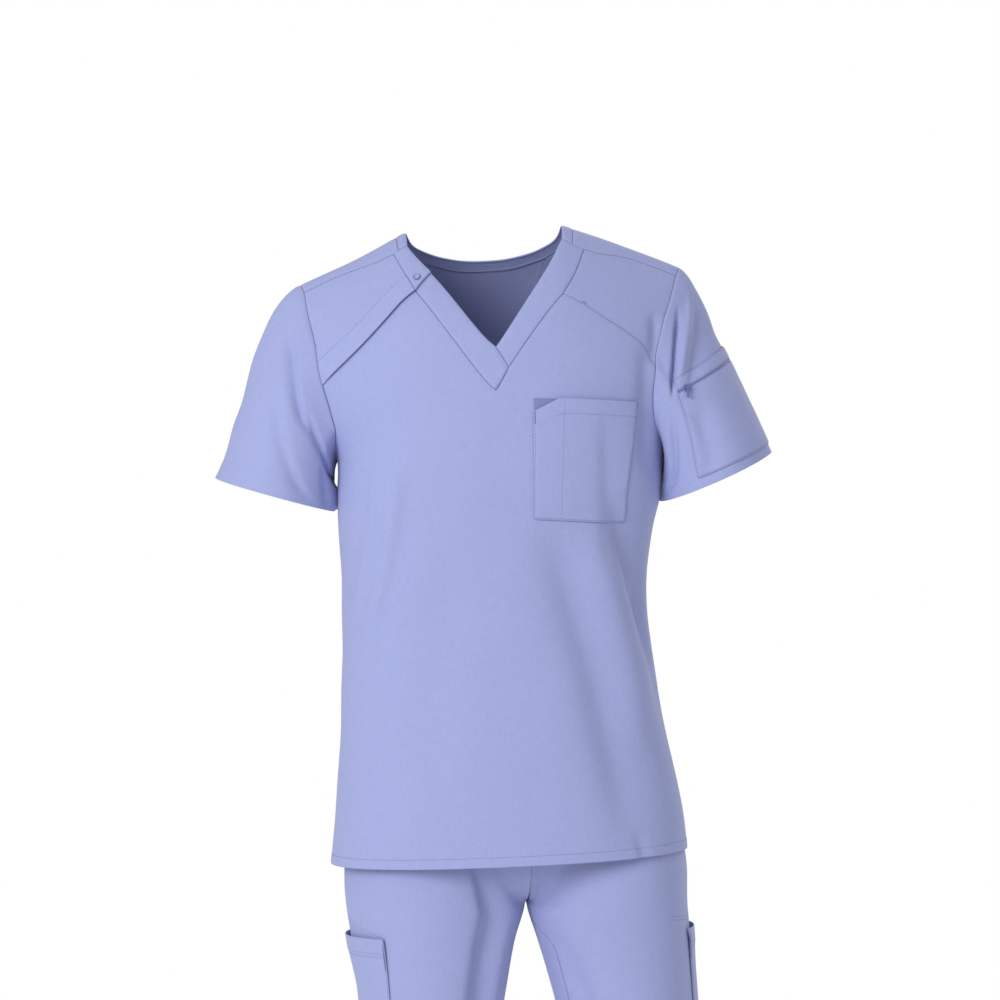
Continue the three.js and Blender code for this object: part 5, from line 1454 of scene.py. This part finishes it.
def chest_pocket():
    top_inner, top_outer = CHEST_POCKET["top_inner"], CHEST_POCKET["top_outer"]
    low_inner, low_outer = CHEST_POCKET["low_inner"], CHEST_POCKET["low_outer"]
    slot_side = (top_inner[0], top_inner[1] - PEN_SLOT_DROP)
    slot_top = (top_inner[0] + PEN_SLOT_WIDTH, top_inner[1] - 1)
    across = spaced([12] + [10] * 3, (0.03, 0.06, 0.09, 0.15), (0.03, 0.06, 0.09, 0.15))
    up = spaced([10] * 5, (0.03, 0.06, 0.1, 0.15), (0.03, 0.3, 0.48, 0.55, 0.62, 0.7))
    flat = flat_grid([low_inner, low_outer, top_outer, slot_top, slot_side], [1, 3], 5, across, up)
    share = (flat[..., 0] - low_inner[0]) / (top_outer[0] - low_inner[0])
    let_out = POCKET_CORNER_OUT * ease(0.45, 0.85, share) * (1 - ease(0, 0.28, up))[:, None]
    places = place_at(flat[..., 0] + let_out, flat[..., 1])
    gape = 1.5 * np.sin(np.clip(share, 0, 1) * math.pi) * up[:, None] ** 3
    points, normals = top_cloth(places, POCKET_RISE + gape)
    pocket = Panel(points, normals, PATCH_EDGES, {"top": CHEST_HEM}, PATCH_EDGES, dip=0)
    cloth = woven("scrubs_cloth_pocket", PATCH_LINES_AND_SHADE, [(CHEST_HEM, 0.7, 0.1)])
    cut("chest_pocket_piece", "chest_pocket", [pocket], cloth)
    x, low, high = slot_side[0] + 0.8, slot_side[1] - 5, slot_top[1] - 0.5
    corners = [(x, low), (x + PEN_SLOT_WIDTH, low), (x + PEN_SLOT_WIDTH - 1, high), (x, high)]
    even = np.linspace(0, 1, 13)
    flat = flat_grid(corners, [1], 1, even, even)
    lining = Panel(*top_cloth(place_at(flat[..., 0], flat[..., 1]), 1.15), seams=("left",), dip=0)
    # Painted shade: the lining is a darker copy of the cloth, for the shade inside the pocket
    shade = tuple(bpy.context.scene.scrubs_cloth.lining_painted_shade)
    inside = cloth_material("scrubs_pocket_lining_painted_shade", shade, [(TOPSTITCH, 0.9, 0.3)])
    node, thickness = "chest_pocket_lining", 0.0008
    cut(node + "_piece", node, [lining], inside, thickness)


class SleeveMap:
    """Finds places on the left sleeve by how far round it they are and how far from its cuff."""

    def __init__(self):
        self.turns, self.downs = np.linspace(-30, 130, 161), np.linspace(1, 0, 101)
        points = smooth_sleeve("left", self.turns[None], self.downs[:, None])
        steps = np.linalg.norm(np.diff(points, axis=0), axis=2)
        self.runs = np.concatenate([np.zeros((1, len(self.turns))), np.cumsum(steps, 0)])
        self.points = points

    def down(self, turn, distance):
        turn, distance = np.broadcast_arrays(turn, distance)
        at = np.interp(turn, self.turns, np.arange(len(self.turns)))
        first = np.minimum(at.astype(int), len(self.turns) - 2)
        found = []
        for k, t, d in zip(first.ravel(), (at - first).ravel(), distance.ravel()):
            ends = [np.interp(d, self.runs[:, i], self.downs) for i in (k, k + 1)]
            found.append(mix(ends[0], ends[1], t))
        return np.array(found).reshape(turn.shape)

    def turn_seen_at(self, x, z):
        """The turn of the place that is seen from the front at this x and z."""
        away = np.hypot(self.points[..., 0] - x, self.points[..., 2] - z)
        away[self.points[..., 1] > 0] = 1e6
        return self.turns[np.unravel_index(away.argmin(), away.shape)[1]]


def sleeve_strip(places, low, high, across, up, out):
    """A grid on the left sleeve between two lines, whose distances from the cuff are given at both ends."""
    turn_top, turn_low = (places.turn_seen_at(*SLEEVE_POCKET[key]) for key in ("front_top", "front_low"))
    in_front = mix(low[0], high[0], up)[:, None]
    behind = mix(low[1], high[1], up)[:, None]
    lowest, topmost = POCKET_LINES["low"][0], POCKET_LINES["top"][0]
    front_turn = mix(turn_low, turn_top, (in_front - lowest) / (topmost - lowest))
    turn = mix(front_turn, SLEEVE_POCKET["back"], across[None])
    down = places.down(turn, mix(in_front, behind, across[None]))
    return sleeve_cloth("left", turn, down, out)


ZIP_LIP = 1.5  # the folded edges on either side of the zip reach this far over its tape
ZIP_TAPE_RISE = 1.05
TEETH_PITCH = 0.72
# Sections of a tooth: height, half its width along the zip, and its reach to both sides of the zip's middle
TOOTH = ((-0.1, 0.42, -0.55, 1.45), (0.45, 0.42, -0.55, 1.45), (0.85, 0.24, -0.3, 1.1))


def sleeve_pocket():
    places = SleeveMap()
    top, zip_line, low = POCKET_LINES["top"], POCKET_LINES["zip"], POCKET_LINES["low"]
    under_zip = tuple(d - ZIP_WIDTH for d in zip_line)
    lips = tuple(d + ZIP_LIP for d in under_zip), tuple(d - ZIP_LIP for d in zip_line)
    across = patch_columns(37)
    up = np.concatenate([[0, 0.01, 0.02, 0.035], np.linspace(0.06, 0.94, 34), [0.965, 0.98, 0.99, 1]])
    bulge = 1.6 * np.sin(up * math.pi)[:, None] * np.sin(across * math.pi)[None]
    cloth = woven("scrubs_cloth_sleeve_pocket", PATCH_LINES_AND_SHADE)
    made = (
        ("sleeve_pocket", low, lips[0], up, POCKET_RISE + bulge),
        ("sleeve_pocket_band", lips[1], top, np.linspace(0, 1, 14), POCKET_RISE + 0 * across[None]),
    )
    edges = (*PATCH_EDGES, "top")
    for node, start, stop, rows, out in made:
        points, normals = sleeve_strip(places, start, stop, across, rows, out)
        panel = Panel(points, normals, seams=edges, tucked=edges, dip=0)
        cut(node + "_piece", node, [panel], cloth)
    rows = np.linspace(-1.2, 2.1, 13)
    tape = Panel(*sleeve_strip(places, under_zip, zip_line, across, rows, ZIP_TAPE_RISE))
    colour = tuple(bpy.context.scene.scrubs_sewing.zip_colour)
    tape_cloth = cloth_material("scrubs_zip_tape", colour)
    node, thickness = "sleeve_zip_tape", 0.0006
    cut(node + "_piece", node, [tape], tape_cloth, thickness)
    fine = np.linspace(0.01, 0.985, 260)
    points, normals = sleeve_strip(places, under_zip, zip_line, fine, np.array([0.5]), ZIP_TAPE_RISE)
    zip_teeth(points[0], normals[0], fitting_material("scrubs_zip_teeth", colour, 0.42, 0.0))


def zip_teeth(points, normals, material):
    """Two rows of moulded teeth that mesh along the middle of the zip."""
    verts, faces = [], []
    runs = runs_of(points)
    at = np.arange(0.5, runs[-1] - 0.5, TEETH_PITCH)
    centres, ups = sampled_at(at, runs, points), unit(sampled_at(at, runs, normals))
    ahead = unit(np.gradient(centres, axis=0))
    for i, (centre, up, along_it) in enumerate(zip(centres, ups, ahead)):
        side = np.cross(up, along_it) * (1 if i % 2 else -1)
        base = len(verts)
        for height, half, inner, outer in TOOTH:
            for a, s in ((-half, inner), (half, inner), (half, outer), (-half, outer)):
                verts.append(centre + up * height + along_it * a + side * s)
        order = 1 if i % 2 else -1
        for low in (0, 4):
            for k in range(4):
                here, there = base + low + k, base + low + (k + 1) % 4
                faces.append((here, there, there + 4, here + 4)[::order])
        faces.append(tuple(base + 8 + k for k in range(4))[::order])
    piece = plain_piece("sleeve_zip_teeth", np.array(verts) * MM, faces, material, smooth=False)
    placed(piece, None)


def side_cloth(leg, column, z, out=0.0):
    """The trousers' cloth round a leg's side seam: columns in front of it count upwards."""
    column, z = np.broadcast_arrays(column, z)
    ahead = trouser_cloth(leg, 1, np.maximum(column, 0) / CARGO_COLUMNS, z, out)
    behind = trouser_cloth(leg, -1, np.maximum(-column, 0) / CARGO_COLUMNS, z, out)
    return tuple(np.where((column >= 0)[..., None], a, b) for a, b in zip(ahead, behind))


CARGO_HEM = 19.0
CARGO_HEM_STITCHES = (17.2, 21.6)


def cargo_pocket(leg):
    sizes = CARGO[leg]
    across = patch_columns(41)
    by_hem = [0.873, 0.885, 0.895, 0.905, 0.915, 0.93, 0.96, 0.985, 1]
    up = np.concatenate([[0, 0.006, 0.012, 0.025], np.linspace(0.04, 0.86, 34), by_hem])
    column = mix(-sizes["back_reach"], sizes["front_reach"], across)[None]
    top = mix(sizes["top_back"], sizes["top_front"], across)[None]
    z = top - CARGO_HEIGHT * (1 - up)[:, None]
    gape = 3.6 * ease(0.55, 1, up)[:, None] ** 2 * np.sin(np.clip(across * 0.93, 0, 1) * math.pi)[None] ** 0.7
    bulge = 2.0 * np.sin(up * math.pi)[:, None] * np.sin(across * math.pi)[None]
    points, normals = side_cloth(leg, column, z, POCKET_RISE + gape + bulge)
    if leg == "left":
        points, normals = turned_round(points, normals)
    pocket = Panel(points, normals, PATCH_EDGES, {"top": CARGO_HEM}, PATCH_EDGES, dip=0)
    cloth = woven("scrubs_cloth_cargo", PATCH_LINES_AND_SHADE, [(depth, 0.7, 0.25) for depth in CARGO_HEM_STITCHES])
    node = f"cargo_pocket_{leg}"
    cut(node + "_piece", node, [pocket], cloth)


class SCRUBS_OT_pockets(bpy.types.Operator):
    """Builds the chest pocket, the zipped sleeve pocket and the cargo pockets"""

    bl_idname = "scrubs.pockets"
    bl_label = "Pockets"

    def execute(self, context):
        chest_pocket()
        sleeve_pocket()
        for leg in SIDES:
            cargo_pocket(leg)
        return {"FINISHED"}


SNAP_PLACE = (-74.5, -65)
SNAP_RISE = 0.2
SNAP_PROFILE = (
    (4.2, 0.0), (4.3, 0.7), (4.15, 1.4), (3.7, 1.9), (3.1, 2.0), (2.6, 1.75),
    (2.3, 1.2), (2.1, 0.85), (1.2, 0.75), (0.9, 1.0), (0.5, 1.15), (0.0, 1.2),
)
SNAP_RIM_ROWS = 4
SNAP_RIM_SHADE = 0.5


class SCRUBS_OT_fittings(bpy.types.Operator):
    """Builds the shoulder's snap and finishes the zip's slider and pull tab"""

    bl_idname = "scrubs.fittings"
    bl_label = "Snap and zip"

    def execute(self, context):
        sewing = context.scene.scrubs_sewing
        place = place_at(*SNAP_PLACE)
        centre, up = (a[0] for a in lifted_cloth(place[None]))
        side = unit(np.cross(up, [0.0, 0.0, 1.0]))
        ahead = np.cross(up, side)
        turns = np.radians(np.arange(0, 360, 9))
        verts = [
            centre + up * (h + SNAP_RISE) + (side * math.cos(t) + ahead * math.sin(t)) * r
            for r, h in SNAP_PROFILE[:-1] for t in turns
        ]
        n = len(turns)
        faces = [
            (row * n + (k + 1) % n, row * n + n + (k + 1) % n, row * n + n + k, row * n + k)
            for row in range(len(SNAP_PROFILE) - 2) for k in range(n)
        ]
        verts.append(centre + up * (SNAP_PROFILE[-1][1] + SNAP_RISE))
        last = (len(SNAP_PROFILE) - 2) * n
        faces += [(last + (k + 1) % n, len(verts) - 1, last + k) for k in range(n)]
        rim = fitting_material("scrubs_snap_rim", tuple(c * SNAP_RIM_SHADE for c in cloth_colour()), 0.3, 0.0)
        piece = plain_piece("shoulder_snap", np.array(verts) * MM, faces, rim)
        piece.data.materials.append(fitting_material("scrubs_snap_cap", cloth_colour(), 0.4, 0.0))
        for face in piece.data.polygons[SNAP_RIM_ROWS * n:]:
            face.material_index = 1
        placed(piece, "snap_ring")
        metal = fitting_material("scrubs_zip_slider", tuple(sewing.zip_colour), 0.36, 0.55)
        for name in ("zip_slider", "zip_pull"):
            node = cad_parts[name]
            node.material_slots[0].material = metal
            bevel = node.modifiers.new("worn edges", "BEVEL")
            bevel.width = 0.00022
            bevel.segments = 2
            bevel.limit_method = "ANGLE"
            bevel.angle_limit = math.radians(40)
        return {"FINISHED"}


PEN_LINE_AT = 0.28
PEN_LINE_X = 88
YOKE_STITCHES = 1.8
YOKE_TACK_AT = 0.2
YOKE_TACK_LENGTH = 5.0
FLY_STITCHES = (1.9, 8.4)
HIP_BAG_ROWS = (0, 4.7)
HIP_BAG_MM = 190  # from a leg's side seam to its centre seam
HIP_BAG = {  # lower edge of each hip pocket's bag, as share from the side seam and height
    "right": ((0.0, -797), (0.08, -806), (0.17, -814), (0.265, -820)),
    "left": ((0.0, -799), (0.1, -799.5), (0.2, -798), (0.28, -796)),
}


def smooth_line(points, count=80):
    points = np.array(points, float)
    rows = {"run": runs_of(points * [HIP_BAG_MM, 1]), "a": points[:, 0], "b": points[:, 1]}
    at = np.linspace(0, rows["run"][-1], count)
    return along(rows, "run", "a", at), along(rows, "run", "b", at)


def pen_line(pocket):
    """The stitching that parts a place for pens from the rest of the chest pocket."""
    k = int(np.argmin(np.abs(pocket.points[0, :, 0] - PEN_LINE_X)))
    return pocket.points[2:, k], pocket.surface_normals()[2:, k]


def sew_top():
    """The top's hem, flap, yoke and chest pocket."""
    top = Sewing()
    for node in ("front", "back"):
        top.run(*PANELS[node].line("bottom", HEM_DEPTH))
    top.run(*PANELS["shoulder_flap_right"].line("bottom", FLAP_FACING_DEPTH))
    seam, normals = PANELS["shoulder_yoke_left"].line("bottom", YOKE_STITCHES, (YOKE_TACK_AT, 1))
    top.run(seam, normals)
    top.tack(seam[0], seam[0] + unit(seam[1] - seam[0]) * YOKE_TACK_LENGTH, normals[0])
    pocket = PANELS["chest_pocket"]
    for edge in PATCH_EDGES:
        top.run(*pocket.line(edge, TOPSTITCH))
    top.run(*pocket.line("top", CHEST_HEM, (PEN_LINE_AT, 1)))
    top.run(*pen_line(pocket))
    for edge in ("left", "right"):
        points, normals = pocket.line(edge, TOPSTITCH)
        top.tack(points[-2], points[-9], normals[-2])
    top.piece("top_stitches")


def sew_sleeve():
    """The zipped pocket on the left sleeve."""
    sleeve = Sewing()
    band_edges = ("left", "bottom", "top")
    for node, edges in (("sleeve_pocket", (*PATCH_EDGES, "top")), ("sleeve_pocket_band", band_edges)):
        for edge in edges:
            sleeve.run(*PANELS[node].line(edge, TOPSTITCH))
    sleeve.piece("sleeve_stitches")


def sew_trousers():
    """The cargo pockets, the hems, the hip pockets' bags and the fly."""
    trousers = Sewing()
    for leg in SIDES:
        pocket = PANELS[f"cargo_pocket_{leg}"]
        for edge in PATCH_EDGES:
            trousers.run(*pocket.line(edge, TOPSTITCH))
        for depth in CARGO_HEM_STITCHES:
            trousers.run(*pocket.line("top", depth))
        for edge in ("left", "right"):
            points, normals = pocket.line(edge, TOPSTITCH)
            trousers.tack(points[-3], points[-12], normals[-5])
        for face in ("front", "back"):
            trousers.run(*PANELS[f"trouser_{face}_{leg}"].line("bottom", TROUSER_HEM_STITCHES))
        a, b = smooth_line(HIP_BAG[leg])
        for drop in HIP_BAG_ROWS:
            trousers.run(*trouser_cloth(leg, 1, a + 0.004, b - drop))
    fly = PANELS["trouser_front_left"]
    heights = fly.points[:, 0, 2]
    start = float(np.argmax(heights > CROTCH + 4)) / (len(heights) - 1)
    for away in FLY_STITCHES:
        trousers.run(*fly.line("left", away, (start, 1)))
    trousers.piece("trouser_stitches")


class SCRUBS_OT_sewing(bpy.types.Operator):
    """Sews every topstitched seam and hem, with bar tacks where the pull is"""

    bl_idname = "scrubs.sewing"
    bl_label = "Stitches"

    def execute(self, context):
        sew_top()
        sew_sleeve()
        sew_trousers()
        return {"FINISHED"}


# Each light's name, place, aim, width, and share of the key light's power
LIGHTS = (
    ("key_light", (-2.3, -3.1, 1.0), (0.0, 0, -0.45), 2.1, 1),
    ("fill_light", (2.4, -2.8, 0.2), (0.0, 0, -0.6), 2.2, 0.06),
    ("back_light", (2.4, 2.9, 1.3), (0.0, 0, -0.6), 2.0, 0.4),
)
FLOOR_RADIUS = 2.9
CAMERA_X, CAMERA_Z = 0.020, -0.318
SENSOR = 36


class SCRUBS_OT_stage(bpy.types.Operator):
    """Sets the floor, the surroundings, the soft lights and the camera"""

    bl_idname = "scrubs.stage"
    bl_label = "Stage"

    def execute(self, context):
        scene = context.scene
        settings = scene.scrubs_stage
        turns = np.radians(np.arange(0, 360, 5))
        verts = [(FLOOR_RADIUS * math.cos(t), FLOOR_RADIUS * math.sin(t), settings.floor) for t in turns]
        mesh = bpy.data.meshes.new("floor")
        mesh.from_pydata(verts, [], [tuple(range(len(verts)))])
        mesh.materials.append(self.paper(tuple(settings.backdrop)))
        linked("floor", mesh)
        self.surroundings(scene)
        for name, place, aim, width, share in LIGHTS:
            self.light(name, place, aim, width, settings.key_power * share)
        camera = linked("camera", bpy.data.cameras.new("camera"))
        camera.location = (CAMERA_X, -settings.camera_distance, CAMERA_Z)
        camera.rotation_euler = (math.pi / 2, 0, 0)
        camera.data.sensor_width = SENSOR
        camera.data.lens = SENSOR * settings.camera_distance / settings.frame_width
        camera.data.clip_end = 50
        scene.camera = camera
        scene.view_settings.view_transform = "Standard"
        return {"FINISHED"}

    def paper(self, colour):
        material, wires, shader = new_material("backdrop_paper")
        grain = wires.noise(wires.node("ShaderNodeTexCoord").outputs["Object"], Scale=6)
        wires.join(wires.mixed(grain, tinted(colour, 0.97), tinted(colour, 1)), shader.inputs["Base Color"])
        preset(shader, Roughness=0.85)
        return material

    def surroundings(self, scene):
        world = bpy.data.worlds.new("studio")
        world.use_nodes = True
        wires = Wires(world.node_tree)
        lit = world.node_tree.nodes["Background"]
        preset(lit, Color=(0.97, 0.98, 1.0, 1), Strength=0.54)
        seen = wires.node("ShaderNodeBackground")
        preset(seen, Color=(1, 1, 1, 1))
        path, both = wires.node("ShaderNodeLightPath"), wires.node("ShaderNodeMixShader")
        wires.join(path.outputs["Is Camera Ray"], both.inputs[0])
        wires.join(lit.outputs[0], both.inputs[1])
        wires.join(seen.outputs[0], both.inputs[2])
        wires.join(both.outputs[0], world.node_tree.nodes["World Output"].inputs[0])
        scene.world = world

    def light(self, name, place, aim, width, power):
        data = bpy.data.lights.new(name, "AREA")
        data.shape = "DISK"
        data.size = width
        data.energy = power
        light = linked(name, data)
        light.location = place
        light.rotation_euler = (Vector(aim) - Vector(place)).to_track_quat("-Z", "Y").to_euler()


OPERATORS = (
    SCRUBS_OT_top_panels, SCRUBS_OT_neckband, SCRUBS_OT_sleeves, SCRUBS_OT_trousers, SCRUBS_OT_pockets,
    SCRUBS_OT_fittings, SCRUBS_OT_sewing, SCRUBS_OT_stage,
)


class SCRUBS_PT_panel(bpy.types.Panel):
    """Lists the garments' settings and what builds them"""

    bl_idname = "SCRUBS_PT_panel"
    bl_label = "Medical scrubs"
    bl_space_type = "VIEW_3D"
    bl_region_type = "UI"
    bl_category = "Scrubs"

    def draw(self, context):
        for group in ("scrubs_cloth", "scrubs_sewing", "scrubs_stage"):
            settings = getattr(context.scene, group)
            box = self.layout.box()
            for name in type(settings).__annotations__:
                box.prop(settings, name)
        for operator in OPERATORS:
            self.layout.operator(operator.bl_idname)


SETTINGS = {
    "scrubs_cloth": ScrubsClothSettings,
    "scrubs_sewing": ScrubsSewingSettings,
    "scrubs_stage": ScrubsStageSettings,
}


def register():
    for kind in (*SETTINGS.values(), *OPERATORS, SCRUBS_PT_panel):
        bpy.utils.register_class(kind)
    for name, kind in SETTINGS.items():
        setattr(bpy.types.Scene, name, PointerProperty(type=kind))


def unregister():
    for name in SETTINGS:
        delattr(bpy.types.Scene, name)
    for kind in (SCRUBS_PT_panel, *OPERATORS[::-1], *SETTINGS.values()):
        bpy.utils.unregister_class(kind)


def main():
    register()
    for operator in OPERATORS:
        getattr(bpy.ops.scrubs, operator.bl_idname.split(".")[1])()


if __name__ == "__main__":
    main()
